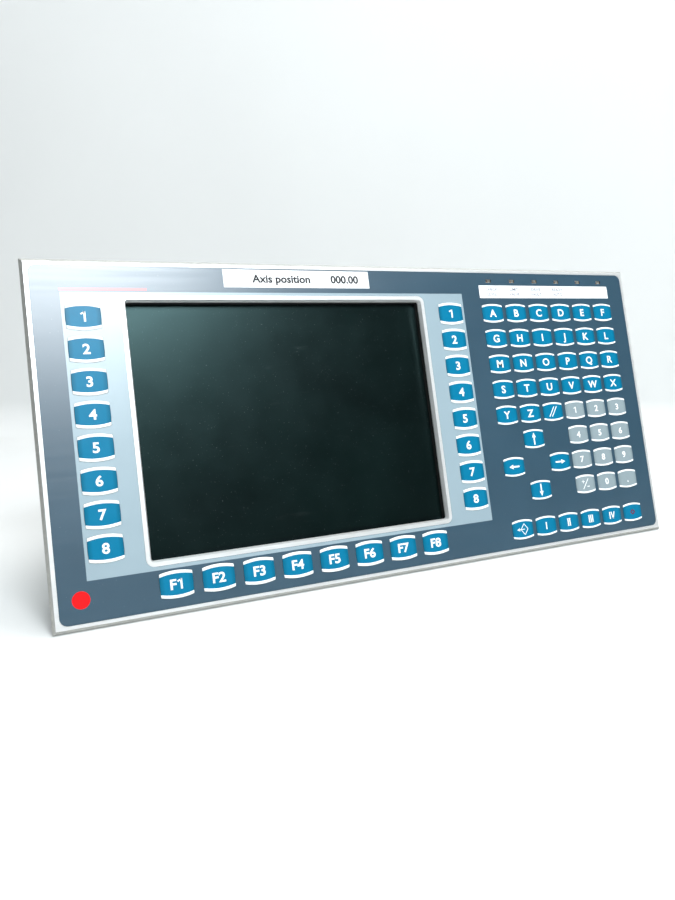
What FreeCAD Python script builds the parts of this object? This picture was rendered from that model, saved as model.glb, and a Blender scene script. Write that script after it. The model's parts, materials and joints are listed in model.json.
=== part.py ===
"""A 19-inch operator panel: an aluminium front plate with a keypad film, 73 travelling keys,
a 10.4-inch screen and a shallow sheet-metal housing behind it.

Frame: X to the right, Z up, the operator looks along +Y. The origin is the middle of the plate's
rear face, which lies on the cabinet, so the plate is at negative Y and the housing at positive Y.
"""
import FreeCAD, Part
import math
import os
import Sketcher

SHEET = "Sizes"
SIZES = [
    ("plate_width", 482.6, "19-inch panel width"),
    ("plate_height", 224.0, "height of the front plate"),
    ("plate_thickness", 4.0, "aluminium plate"),
    ("edge_chamfer", 2.1, "bevel round the front edge of the plate"),
    ("film_inset_x", 4.3, "bare rim left and right of the film"),
    ("film_inset_z", 3.9, "bare rim above and below the film"),
    ("film_corner", 5.0, "corner radius of the film"),
    ("film_thickness", 0.25, "printed front film"),
    ("film_recess", 0.1, "film below the plate's front face"),
    ("film_gap", 0.15, "gap round the film in its pocket"),
    ("circuit_thickness", 0.3, "key circuit layer"),
    ("spacer_thickness", 0.55, "spacer between circuit and film"),
    ("screen_x", -74.1, "middle of the screen"),
    ("screen_z", 3.85, "middle of the screen"),
    ("active_width", 211.2, "picture area of a 10.4-inch screen"),
    ("active_height", 158.4, "picture area of a 10.4-inch screen"),
    ("active_margin_x", 1.5, "dark border beside the picture"),
    ("active_margin_z", 2.35, "dark border above and below the picture"),
    ("window_corner", 1.5, "corner radius of the screen opening"),
    ("bevel_width", 1.0, "bevel round the screen opening"),
    ("bevel_depth", 3.0, "depth of that bevel"),
    ("rim_width", 2.6, "bare rim between that bevel and the film"),
    ("rim_corner", 5.0, "outer corner radius of the bare rim"),
    ("seal_depth", 3.85, "thickness of the screen seal"),
    ("glass_border", 8.0, "glass outside the picture area"),
    ("glass_thickness", 2.0, "touch screen pane"),
    ("display_width", 236.0, "outline of the display module"),
    ("display_height", 177.0, "outline of the display module"),
    ("display_depth", 8.0, "thickness of the display module"),
    ("display_gap", 0.3, "gap between pane and display module"),
    ("key_side_bulge", 0.35, "outward bow of a key's sides"),
    ("key_end_bow", 1.35, "outward bow of a key's top and bottom"),
    ("soft_key_width", 20.3, "softkeys and function keys"),
    ("soft_key_height", 17.1, "softkeys and function keys, at mid width"),
    ("soft_key_ridge", 1.9, "raised arc at top and bottom"),
    ("small_key_width", 18.9, "letter, number and arrow keys"),
    ("small_key_height", 15.0, "letter, number and arrow keys, at mid width"),
    ("small_key_ridge", 1.4, "raised arc at top and bottom"),
    ("key_gap", 0.15, "gap between a key and the film"),
    ("spacer_gap", 0.6, "gap between a key and the spacer"),
    ("key_rise", 0.4, "key face above the film"),
    ("ridge_rise", 0.18, "arc above the key face"),
    ("dome_radius", 5.0, "snap dome"),
    ("dome_crown", 0.05, "pressed height of a snap dome"),
    ("row_pitch", 20.24, "from one row of keys to the next"),
    ("row_first_z", -66.2, "lowest softkey row"),
    ("softkey_offset", 133.4, "softkey columns from the middle of the screen"),
    ("function_pitch", 26.81, "from one function key to the next"),
    ("function_row_z", -93.7, "function key row"),
    ("column_pitch", 22.71, "from one letter column to the next"),
    ("column_first_x", 98.4, "first letter column"),
    ("bottom_row_z", -94.3, "row of special keys"),
    ("lamp_row_z", 101.6, "row of status lamps"),
    ("lamp_window_width", 5.0, "window over a status lamp"),
    ("lamp_window_height", 2.6, "window over a status lamp"),
    ("lamp_pocket_depth", 2.2, "lamp pocket below the circuit layer"),
    ("lamp_width", 3.4, "status lamp"),
    ("lamp_height", 2.0, "status lamp"),
    ("lamp_thickness", 0.8, "status lamp"),
    ("lamp_label_x", 154.55, "label strip under the lamps"),
    ("lamp_label_z", 92.9, "label strip under the lamps"),
    ("lamp_label_width", 132.3, "label strip under the lamps"),
    ("lamp_label_height", 10.2, "label strip under the lamps"),
    ("place_label_x", -62.25, "label above the screen"),
    ("place_label_z", 100.9, "label above the screen"),
    ("place_label_width", 108.9, "label above the screen"),
    ("place_label_height", 12.4, "label above the screen"),
    ("label_thickness", 0.12, "printed label"),
    ("housing_width", 436.0, "rear housing"),
    ("housing_height", 192.0, "rear housing"),
    ("housing_depth", 54.0, "rear housing behind the plate"),
    ("housing_corner", 3.0, "corner radius of the rear housing"),
    ("sheet_thickness", 1.2, "steel sheet of housing and cover"),
    ("cover_width", 316.0, "service cover"),
    ("cover_height", 156.0, "service cover"),
    ("cover_lap", 8.0, "overlap of the cover on the housing"),
    ("cover_x", -40.0, "middle of the service cover"),
    ("panel_seal_gap", 3.0, "gap between housing and panel seal"),
    ("panel_seal_width", 5.0, "width of the panel seal"),
    ("panel_seal_thickness", 1.0, "panel seal, squashed"),
    ("stud_radius", 2.0, "M4 studs"),
    ("stud_length", 8.5, "M4 studs behind the plate"),
    ("stud_edge_x", 7.3, "stud from the plate's side"),
    ("stud_edge_z", 4.5, "stud from the plate's top and bottom"),
    ("stud_inner_spacing", 156.0, "inner studs, left to right"),
    ("stud_side_spacing", 72.0, "side studs, bottom to top"),
    ("pillar_radius", 3.0, "threaded pillars"),
    ("pillar_wall_gap", 1.8, "pillar from the housing wall"),
    ("pillar_middle_x", 74.0, "middle pair of long pillars"),
    ("screw_radius", 1.2, "M3 screw core"),
    ("screw_gap", 0.1, "gap round a screw"),
    ("screw_length", 6.0, "M3 screw below its seat"),
    ("screw_head_radius", 2.7, "M3 pan head"),
    ("screw_head_height", 1.9, "M3 pan head"),
    ("bore_depth", 7.0, "threaded depth of a pillar"),
    ("carrier_thickness", 1.5, "screen carrier"),
    ("carrier_margin", 4.5, "carrier beyond its pillars"),
    ("carrier_pillar_gap", 2.0, "pillar from the display module"),
    ("carrier_pillar_pitch", 70.0, "carrier pillars, bottom to top"),
    ("board_thickness", 1.6, "circuit boards"),
    ("board_hole_inset", 6.0, "board holes from the board's edge"),
    ("keypad_board_gap", 4.0, "keypad board behind the plate"),
    ("keypad_board_width", 120.0, "keypad board"),
    ("keypad_board_height", 170.0, "keypad board"),
    ("main_board_width", 200.0, "main board"),
    ("main_board_height", 150.0, "main board"),
    ("main_board_z", -10.0, "middle of the main board"),
    ("standoff_length", 8.0, "board standoffs"),
    ("power_board_width", 100.0, "power board"),
    ("power_board_height", 120.0, "power board"),
    ("power_board_x", 152.0, "middle of the power board"),
    ("power_board_z", -25.0, "middle of the power board"),
    ("socket_depth", 19.0, "length of a socket body"),
    ("socket_proud", 1.0, "socket beyond the housing"),
    ("socket_gap", 0.3, "gap round a socket in the housing"),
    ("socket_pitch", 42.0, "from one socket to the next"),
    ("network_socket_width", 16.0, "network socket"),
    ("network_socket_height", 13.5, "network socket"),
    ("serial_socket_width", 31.0, "nine-way serial socket"),
    ("serial_socket_height", 12.5, "nine-way serial socket"),
    ("power_socket_width", 20.0, "three-way power terminal"),
    ("power_socket_height", 10.0, "three-way power terminal"),
    ("tail_width", 24.0, "tail of the key circuit"),
    ("tail_slot_gap", 0.4, "gap round the tail in the plate"),
]
SOFTKEY_ROWS = 8
FUNCTION_KEYS = 8
LETTER_COLUMNS = 6
LETTER_ROWS = 4
NUMBER_COLUMNS = 3
NUMBER_ROWS = 4
VENT_COUNT = 24
VENT_PITCH = 7.0
VENT_WIDTH = 2.5
NETWORK_CAVITY_WIDTH = 11.8
NETWORK_CAVITY_HEIGHT = 8.4
NETWORK_CAVITY_DEPTH = 13.0
SERIAL_NOSE_WIDTH = 17.0
SERIAL_NOSE_HEIGHT = 8.2
SERIAL_NOSE_LENGTH = 5.0
POWER_PITCH = 6.0
POWER_HOLE_RADIUS = 1.5
EPSILON = 1e-6
EVEN_SPACING = -1.0


class Size:
    """A length that carries its number and the sheet formula that gives the number."""

    def __init__(self, value, formula):
        self.value = float(value)
        self.formula = formula

    def joined(self, other, sign, value):
        right = other.formula if isinstance(other, Size) else repr(float(other))
        return Size(value, f"({self.formula} {sign} {right})")

    def __add__(self, other):
        return self.joined(other, "+", self.value + number(other))

    def __sub__(self, other):
        return self.joined(other, "-", self.value - number(other))

    def __mul__(self, other):
        return self.joined(other, "*", self.value * number(other))

    def __truediv__(self, other):
        return self.joined(other, "/", self.value / number(other))

    def __neg__(self):
        return Size(-self.value, f"(-1 * {self.formula})")


def number(size):
    """The plain number of a Size or of a number."""
    return size.value if isinstance(size, Size) else float(size)


def fixed(millimetres):
    """A Size that no sheet cell drives, for the middle of the panel and the board components."""
    return Size(millimetres, str(float(millimetres)))


class SizeSheet:
    """The spreadsheet of driving sizes. Each alias is also an attribute that gives its Size."""

    def __init__(self, document):
        sheet = document.addObject("Spreadsheet::Sheet", SHEET)
        for row, (alias, value, meaning) in enumerate(SIZES, start=1):
            sheet.set(f"A{row}", meaning)
            sheet.set(f"B{row}", str(value))
            sheet.setAlias(f"B{row}", alias)
            setattr(self, alias, Size(value, f"{SHEET}.{alias}"))


def bind(thing, name, size):
    """Ties one property of a document object to the sheet."""
    if isinstance(size, Size):
        thing.setExpression(name, size.formula)
    else:
        setattr(thing, name, size)


# ---------------------------------------------------------------- sketches

def new_body(document, label):
    body = document.addObject("PartDesign::Body", label)
    body.Label = label
    body.AllowCompound = True
    return body


def origin_plane(body, role):
    return next(item for item in body.Origin.OriginFeatures if item.Role == role)


def sketch_facing_operator(body, x, y, z):
    """A sketch parallel to the plate, centred on (x, z). Its normal points to the operator."""
    sketch = body.newObject("Sketcher::SketchObject", "Outline")
    sketch.AttachmentSupport = (origin_plane(body, "XZ_Plane"), [""])
    sketch.MapMode = "FlatFace"
    place_sketch(sketch, x, z, -y if isinstance(y, Size) else -float(y))
    return sketch


def sketch_facing_up(body, x, y, z):
    """A level sketch centred on (x, y). Its normal points up."""
    sketch = body.newObject("Sketcher::SketchObject", "Outline")
    sketch.AttachmentSupport = (origin_plane(body, "XY_Plane"), [""])
    sketch.MapMode = "FlatFace"
    place_sketch(sketch, x, y, z)
    return sketch


def place_sketch(sketch, across, up, along_normal):
    base = FreeCAD.Vector(number(across), number(up), number(along_normal))
    sketch.AttachmentOffset = FreeCAD.Placement(base, FreeCAD.Rotation())
    for axis, size in (("x", across), ("y", up), ("z", along_normal)):
        if isinstance(size, Size):
            sketch.setExpression(f"AttachmentOffset.Base.{axis}", size.formula)


def fix_size(sketch, constraint, size):
    """Adds a dimension to a sketch and ties it to the sheet."""
    index = sketch.addConstraint(Sketcher.Constraint(*constraint, number(size)))
    if isinstance(size, Size):
        sketch.setExpression(f"Constraints[{index}]", size.formula)


def draw_circle(sketch, radius):
    circle = Part.Circle(FreeCAD.Vector(), FreeCAD.Vector(0, 0, 1), number(radius))
    index = sketch.addGeometry(circle)
    sketch.addConstraint(Sketcher.Constraint("Coincident", index, 3, -1, 1))
    fix_size(sketch, ("Radius", index), radius)


def draw_rectangle(sketch, width, height):
    half_w = number(width) / 2
    half_h = number(height) / 2
    corners = [(-half_w, -half_h), (half_w, -half_h), (half_w, half_h), (-half_w, half_h)]
    points = [FreeCAD.Vector(x, y, 0) for x, y in corners]
    for start in range(4):
        sketch.addGeometry(Part.LineSegment(points[start], points[(start + 1) % 4]))
    for line in range(4):
        sketch.addConstraint(Sketcher.Constraint("Coincident", line, 2, (line + 1) % 4, 1))
    sketch.addConstraint(Sketcher.Constraint("Symmetric", 0, 1, 0, 2, -2))
    sketch.addConstraint(Sketcher.Constraint("Symmetric", 2, 1, 2, 2, -2))
    sketch.addConstraint(Sketcher.Constraint("Symmetric", 1, 1, 1, 2, -1))
    fix_size(sketch, ("DistanceX", 0, 1, 0, 2), width)
    fix_size(sketch, ("DistanceY", 1, 1, 1, 2), height)


def draw_rounded_rectangle(sketch, width, height, radius):
    """Four sides, four tangent corner arcs, symmetric about the sketch's centre."""
    w, h, r = number(width) / 2, number(height) / 2, number(radius)
    sides = [((r - w, -h), (w - r, -h)), ((w, r - h), (w, h - r)),
             ((w - r, h), (r - w, h)), ((-w, h - r), (-w, r - h))]
    centres = [(w - r, r - h), (w - r, h - r), (r - w, h - r), (r - w, r - h)]
    for (x0, y0), (x1, y1) in sides:
        sketch.addGeometry(Part.LineSegment(FreeCAD.Vector(x0, y0, 0), FreeCAD.Vector(x1, y1, 0)))
    quarter = math.pi / 2
    for turn, (x, y) in enumerate(centres):
        circle = Part.Circle(FreeCAD.Vector(x, y, 0), FreeCAD.Vector(0, 0, 1), r)
        sketch.addGeometry(Part.ArcOfCircle(circle, (turn - 1) * quarter, turn * quarter))
    for side in range(4):
        arc = side + 4
        sketch.addConstraint(Sketcher.Constraint("Tangent", side, 2, arc, 1))
        sketch.addConstraint(Sketcher.Constraint("Tangent", arc, 2, (side + 1) % 4, 1))
    sketch.addConstraint(Sketcher.Constraint("Horizontal", 2))
    sketch.addConstraint(Sketcher.Constraint("Vertical", 3))
    for arc in (5, 6, 7):
        sketch.addConstraint(Sketcher.Constraint("Equal", 4, arc))
    fix_size(sketch, ("Radius", 4), radius)
    sketch.addConstraint(Sketcher.Constraint("Symmetric", 0, 1, 0, 2, -2))
    sketch.addConstraint(Sketcher.Constraint("Symmetric", 1, 1, 1, 2, -1))
    fix_size(sketch, ("DistanceX", 3, 1, 1, 1), width)
    fix_size(sketch, ("DistanceY", 0, 1, 2, 1), height)


def bow_radius(chord, bow):
    """Radius of the arc that stands `bow` above the middle of a chord."""
    return (chord * chord / 4 + bow * bow) / (bow * 2)


def draw_barrel(sketch, width, height, end_bow, side_bow):
    """A key outline: four arcs that bow outwards. Width is between the corners,
    height is at mid width."""
    side = height - end_bow * 2
    end_radius = bow_radius(width, end_bow)
    side_radius = bow_radius(side, side_bow)
    w, h = number(width) / 2, number(side) / 2
    re, rs = number(end_radius), number(side_radius)
    corners = [(w, h), (-w, h), (-w, -h), (w, -h)]
    tops = [(0, h + number(end_bow)), (-w - number(side_bow), 0),
            (0, -h - number(end_bow)), (w + number(side_bow), 0)]
    for turn in range(4):
        start = FreeCAD.Vector(*corners[turn], 0)
        middle = FreeCAD.Vector(*tops[turn], 0)
        end = FreeCAD.Vector(*corners[(turn + 1) % 4], 0)
        sketch.addGeometry(Part.Arc(start, middle, end))
    for turn in range(4):
        sketch.addConstraint(Sketcher.Constraint("Coincident", turn, 2, (turn + 1) % 4, 1))
    sketch.addConstraint(Sketcher.Constraint("Symmetric", 0, 1, 0, 2, -2))
    sketch.addConstraint(Sketcher.Constraint("Symmetric", 2, 1, 2, 2, -2))
    sketch.addConstraint(Sketcher.Constraint("Symmetric", 3, 1, 3, 2, -1))
    fix_size(sketch, ("DistanceX", 0, 2, 0, 1), width)
    fix_size(sketch, ("DistanceY", 3, 1, 3, 2), side)
    for arc, radius in ((0, end_radius), (2, end_radius), (1, side_radius), (3, side_radius)):
        fix_size(sketch, ("Radius", arc), radius)


# ---------------------------------------------------------------- features

def pad(body, sketch, length, rearwards=False):
    """Adds material from the sketch along its normal, or against it."""
    feature = body.newObject("PartDesign::Pad", "Pad")
    feature.Profile = sketch
    feature.Reversed = rearwards
    bind(feature, "Length", length)
    return feature


def cut(body, sketch, depth, along_normal=False):
    """Removes material from the sketch against its normal, or along it."""
    feature = body.newObject("PartDesign::Pocket", "Pocket")
    feature.Profile = sketch
    feature.Reversed = along_normal
    bind(feature, "Length", depth)
    return feature


def repeat(body, features, sketch, across=(1, 0), up=(1, 0)):
    """Repeats features in a row or a grid along the sketch's own axes."""
    runs = [(run, axis) for run, axis in ((across, "H_Axis"), (up, "V_Axis")) if run[0] > 1]
    if not runs:
        return
    pattern = body.newObject("PartDesign::LinearPattern", "Pattern")
    pattern.Originals = features
    for suffix, ((count, pitch), axis) in zip(("", "2"), runs):
        setattr(pattern, f"Direction{suffix}", (sketch, [axis]))
        setattr(pattern, f"Mode{suffix}", "Spacing")
        setattr(pattern, f"Occurrences{suffix}", count)
        setattr(pattern, f"Spacings{suffix}", [EVEN_SPACING] * (count - 1))
        bind(pattern, f"Offset{suffix}", pitch)
    body.Tip = pattern


def slab(body, x, y, z, width, height, depth, corner=None):
    """A plate-like block whose front face is at y."""
    sketch = sketch_facing_operator(body, x, y, z)
    if corner is None:
        draw_rectangle(sketch, width, height)
    else:
        draw_rounded_rectangle(sketch, width, height, corner)
    return pad(body, sketch, depth, rearwards=True), sketch


def opening(body, x, y, z, width, height, depth, corner=None):
    """A rectangular opening cut rearwards from y."""
    sketch = sketch_facing_operator(body, x, y, z)
    if corner is None:
        draw_rectangle(sketch, width, height)
    else:
        draw_rounded_rectangle(sketch, width, height, corner)
    return cut(body, sketch, depth), sketch


def round_posts(body, x, y, z, radius, length, across=(1, 0), up=(1, 0)):
    """A group of round posts that start at y and go rearwards."""
    sketch = sketch_facing_operator(body, x, y, z)
    draw_circle(sketch, radius)
    post = pad(body, sketch, length, rearwards=True)
    repeat(body, [post], sketch, across, up)


def round_holes(body, x, y, z, radius, depth, across=(1, 0), up=(1, 0)):
    """A group of round holes cut rearwards from y."""
    sketch = sketch_facing_operator(body, x, y, z)
    draw_circle(sketch, radius)
    hole = cut(body, sketch, depth)
    repeat(body, [hole], sketch, across, up)


def pillars(body, x, y, z, size, length, across, up):
    """Round pillars with a threaded blind bore in the rear end."""
    sketch = sketch_facing_operator(body, x, y, z)
    draw_circle(sketch, size.pillar_radius)
    post = pad(body, sketch, length, rearwards=True)
    bore_sketch = sketch_facing_operator(body, x, y + length, z)
    draw_circle(bore_sketch, size.screw_radius + size.screw_gap)
    depth = size.bore_depth if number(length) > size.bore_depth.value + 1 else length - 1
    bore = cut(body, bore_sketch, depth, along_normal=True)
    repeat(body, [post, bore], sketch, across, up)


# ---------------------------------------------------------------- shared places

class Layout:
    """Places that several pieces share, all worked out from the sheet."""

    def __init__(self, size):
        self.film_front = -size.plate_thickness + size.film_recess
        self.film_rear = self.film_front + size.film_thickness
        self.circuit_front = self.film_rear + size.spacer_thickness
        self.pocket_floor = self.circuit_front + size.circuit_thickness
        self.pocket_depth = self.pocket_floor + size.plate_thickness
        self.film_width = size.plate_width - size.film_inset_x * 2
        self.film_height = size.plate_height - size.film_inset_z * 2
        self.opening_width = size.active_width + size.active_margin_x * 2
        self.opening_height = size.active_height + size.active_margin_z * 2
        rim = (size.bevel_width + size.rim_width) * 2
        self.rim_width = self.opening_width + rim
        self.rim_height = self.opening_height + rim
        self.glass_width = size.active_width + size.glass_border * 2
        self.glass_height = size.active_height + size.glass_border * 2
        self.display_front = size.seal_depth + size.glass_thickness + size.display_gap
        self.carrier_front = self.display_front + size.display_depth
        self.carrier_rear = self.carrier_front + size.carrier_thickness
        self.main_board_front = self.carrier_rear + size.standoff_length
        self.back_wall = size.housing_depth - size.sheet_thickness
        self.power_board_front = self.back_wall - size.standoff_length - size.board_thickness
        self.carrier_pillar_x = (size.display_width / 2 + size.carrier_pillar_gap
                                 + size.pillar_radius)
        inner = size.pillar_radius + size.pillar_wall_gap + size.sheet_thickness
        self.pillar_x = size.housing_width / 2 - inner
        self.pillar_z = size.housing_height / 2 - inner
        self.columns_middle_x = size.column_first_x + size.column_pitch * (LETTER_COLUMNS - 1) / 2
        self.socket_z = -(size.housing_height / 2) - size.socket_proud


def key_fields(size):
    """Where the keys are: style, first x, first z, count and pitch across, count and pitch up."""
    column = size.column_first_x
    pitch = size.column_pitch
    row = size.row_pitch
    first = size.row_first_z
    left = size.screen_x - size.softkey_offset
    right = size.screen_x + size.softkey_offset
    function_x = size.screen_x - size.function_pitch * (FUNCTION_KEYS - 1) / 2
    number_x = column + pitch * (LETTER_COLUMNS - NUMBER_COLUMNS)
    one = (1, 0)
    return [
        ("soft", left, first, one, (SOFTKEY_ROWS, row)),
        ("soft", right, first, one, (SOFTKEY_ROWS, row)),
        ("soft", function_x, size.function_row_z, (FUNCTION_KEYS, size.function_pitch), one),
        ("small", column, first + row * NUMBER_ROWS, (LETTER_COLUMNS, pitch), (LETTER_ROWS, row)),
        ("small", column, first + row * 3, (NUMBER_COLUMNS, pitch), one),
        ("small", number_x, first, (NUMBER_COLUMNS, pitch), (NUMBER_ROWS, row)),
        ("small", column, first + row, (2, pitch * 2), one),
        ("small", column + pitch, first, one, (2, row * 2)),
        ("small", column, size.bottom_row_z, (LETTER_COLUMNS, pitch), one),
    ]


def key_outline(size, style, grow=0.0):
    """Width and height of a key outline, grown all round."""
    if style == "soft":
        return size.soft_key_width + grow * 2, size.soft_key_height + grow * 2
    return size.small_key_width + grow * 2, size.small_key_height + grow * 2


def cut_key_holes(body, size, y, depth, gap):
    """Cuts one hole per key, the key outline grown by a gap."""
    for style, x, z, across, up in key_fields(size):
        sketch = sketch_facing_operator(body, x, y, z)
        width, height = key_outline(size, style, gap)
        draw_barrel(sketch, width, height, size.key_end_bow, size.key_side_bulge)
        hole = cut(body, sketch, depth)
        repeat(body, [hole], sketch, across, up)


def cut_lamp_windows(body, size, y, depth):
    """Cuts the row of windows over the status lamps."""
    hole, sketch = opening(body, size.column_first_x, y, size.lamp_row_z,
                           size.lamp_window_width, size.lamp_window_height, depth)
    repeat(body, [hole], sketch, across=(LETTER_COLUMNS, size.column_pitch))


def film_layer(document, label, size, layout, y, thickness):
    """A layer in the plate's pocket: the film outline with the screen rim left out."""
    body = new_body(document, label)
    gap = size.film_gap
    slab(body, 0.0, y, 0.0, layout.film_width - gap * 2, layout.film_height - gap * 2,
         thickness, size.film_corner - gap)
    opening(body, size.screen_x, y, size.screen_z, layout.rim_width + gap * 2,
            layout.rim_height + gap * 2, thickness, size.rim_corner + gap)
    cut_lamp_windows(body, size, y, thickness)
    return body


# ---------------------------------------------------------------- front of the panel

def make_front_plate(document, size, layout):
    body = new_body(document, "front_plate")
    front = -size.plate_thickness
    plate, _ = slab(body, 0.0, front, 0.0, size.plate_width, size.plate_height,
                    size.plate_thickness)
    document.recompute()
    chamfer = body.newObject("PartDesign::Chamfer", "FrontEdge")
    front_edges = [f"Edge{index}" for index, edge in enumerate(plate.Shape.Edges, start=1)
                   if abs(edge.BoundBox.YMax - front.value) < EPSILON]
    chamfer.Base = (plate, front_edges)
    bind(chamfer, "Size", size.edge_chamfer)
    body.Tip = chamfer
    opening(body, 0.0, front, 0.0, layout.film_width, layout.film_height,
            layout.pocket_depth, size.film_corner)
    slab(body, size.screen_x, front, size.screen_z, layout.rim_width, layout.rim_height,
         layout.pocket_depth, size.rim_corner)
    outer_sketch = sketch_facing_operator(body, size.screen_x, front, size.screen_z)
    bevel = size.bevel_width * 2
    draw_rounded_rectangle(outer_sketch, layout.opening_width + bevel,
                           layout.opening_height + bevel, size.window_corner + size.bevel_width)
    inner_sketch = sketch_facing_operator(body, size.screen_x, front + size.bevel_depth,
                                          size.screen_z)
    draw_rounded_rectangle(inner_sketch, layout.opening_width, layout.opening_height,
                           size.window_corner)
    funnel = body.newObject("PartDesign::SubtractiveLoft", "ScreenBevel")
    funnel.Profile = outer_sketch
    funnel.Sections = [inner_sketch]
    funnel.Ruled = True
    opening(body, size.screen_x, front, size.screen_z, layout.opening_width,
            layout.opening_height, size.plate_thickness, size.window_corner)
    cut_lamp_windows(body, size, layout.pocket_floor, size.lamp_pocket_depth)
    opening(body, layout.columns_middle_x, layout.pocket_floor, tail_height(size),
            size.tail_width + size.tail_slot_gap * 2,
            size.circuit_thickness + size.tail_slot_gap * 2, size.plate_thickness)
    return body


def tail_height(size):
    """The tail goes through the plate halfway between two rows of keys."""
    return size.row_first_z + size.row_pitch * 3.5


def make_front_film(document, size, layout):
    body = film_layer(document, "front_film", size, layout, layout.film_front,
                      size.film_thickness)
    cut_key_holes(body, size, layout.film_front, size.film_thickness, size.key_gap)
    return body


def make_key_spacer(document, size, layout):
    body = film_layer(document, "key_spacer", size, layout, layout.film_rear,
                      size.spacer_thickness)
    cut_key_holes(body, size, layout.film_rear, size.spacer_thickness, size.spacer_gap)
    return body


def make_key_circuit(document, size, layout):
    """The contact layer. Its tail passes through the plate to the keypad board."""
    body = film_layer(document, "key_circuit", size, layout, layout.circuit_front,
                      size.circuit_thickness)
    slab(body, layout.columns_middle_x, layout.circuit_front, tail_height(size),
         size.tail_width, size.circuit_thickness, size.keypad_board_gap - layout.circuit_front)
    return body


def make_snap_domes(document, size, layout):
    """One dome per key, drawn at its pressed height."""
    body = new_body(document, "snap_domes")
    for _, x, z, across, up in key_fields(size):
        round_posts(body, x, layout.circuit_front - size.dome_crown, z, size.dome_radius,
                    size.dome_crown, across, up)
    return body


def make_status_lamps(document, size, layout):
    body = new_body(document, "status_lamps")
    floor = layout.pocket_floor + size.lamp_pocket_depth
    lamp, sketch = slab(body, size.column_first_x, floor - size.lamp_thickness, size.lamp_row_z,
                        size.lamp_width, size.lamp_height, size.lamp_thickness)
    repeat(body, [lamp], sketch, across=(LETTER_COLUMNS, size.column_pitch))
    return body


def make_labels(document, size, layout):
    """The printed strip under the lamps and the sticker above the screen."""
    made = []
    for label, place in (("lamp_label_strip", "lamp_label"), ("position_label", "place_label")):
        x, z, width, height = (getattr(size, f"{place}_{end}")
                               for end in ("x", "z", "width", "height"))
        body = new_body(document, label)
        slab(body, x, layout.film_front - size.label_thickness, z, width, height,
             size.label_thickness)
        made.append(body)
    return made


def make_keys(document, size, layout, label, style, x, z, count=1):
    """A key, or a row of keys, in the film's holes: a flat face between two raised arcs."""
    body = new_body(document, label)
    pitch = size.column_pitch
    front = layout.film_front - size.key_rise - size.ridge_rise
    width, height = key_outline(size, style)
    ridge = size.soft_key_ridge if style == "soft" else size.small_key_ridge
    sketch = sketch_facing_operator(body, 0.0, 0.0, 0.0)
    draw_barrel(sketch, width, height, size.key_end_bow, size.key_side_bulge)
    blank = pad(body, sketch, layout.film_rear - front, rearwards=True)
    face_sketch = sketch_facing_operator(body, 0.0, 0.0, 0.0)
    draw_barrel(face_sketch, width, height - ridge * 2, size.key_end_bow, size.key_side_bulge * 2)
    face = cut(body, face_sketch, size.ridge_rise)
    repeat(body, [blank, face], sketch, across=(count, pitch))
    body.Placement = FreeCAD.Placement(FreeCAD.Vector(x.value, front.value, z.value),
                                       FreeCAD.Rotation())
    for axis, place in (("x", x), ("y", front), ("z", z)):
        body.setExpression(f"Placement.Base.{axis}", place.formula)
    return body


def make_all_keys(document, size, layout):
    made = []

    def add(label, style, x, z, count=1):
        made.append(make_keys(document, size, layout, label, style, x, z, count))

    top = size.row_first_z + size.row_pitch * (SOFTKEY_ROWS - 1)
    for side, offset in (("left", -size.softkey_offset), ("right", size.softkey_offset)):
        for row in range(SOFTKEY_ROWS):
            add(f"{side}_softkey_{row + 1}", "soft", size.screen_x + offset,
                top - size.row_pitch * row)
    for key in range(FUNCTION_KEYS):
        shift = key - (FUNCTION_KEYS - 1) / 2
        add(f"function_key_{key + 1}", "soft", size.screen_x + size.function_pitch * shift,
            size.function_row_z)
    column = size.column_first_x
    pitch = size.column_pitch
    row = size.row_pitch
    letter_names = ("a_to_f", "g_to_l", "m_to_r", "s_to_x")
    for index, name in enumerate(letter_names):
        add(f"letter_keys_{name}", "small", column, top - row * index, LETTER_COLUMNS)
    add("letter_keys_y_to_slash", "small", column, top - row * LETTER_ROWS, NUMBER_COLUMNS)
    number_x = column + pitch * (LETTER_COLUMNS - NUMBER_COLUMNS)
    for index, name in enumerate(("1_to_3", "4_to_6", "7_to_9", "zero_row")):
        add(f"number_keys_{name}", "small", number_x, top - row * (LETTER_ROWS + index),
            NUMBER_COLUMNS)
    first = size.row_first_z
    add("arrow_key_up", "small", column + pitch, first + row * 2)
    add("arrow_key_down", "small", column + pitch, first + row * 0)
    add("arrow_key_left", "small", column + pitch * 0, first + row)
    add("arrow_key_right", "small", column + pitch * 2, first + row)
    add("special_keys", "small", column, size.bottom_row_z, LETTER_COLUMNS)
    return made


# ---------------------------------------------------------------- behind the plate

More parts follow.
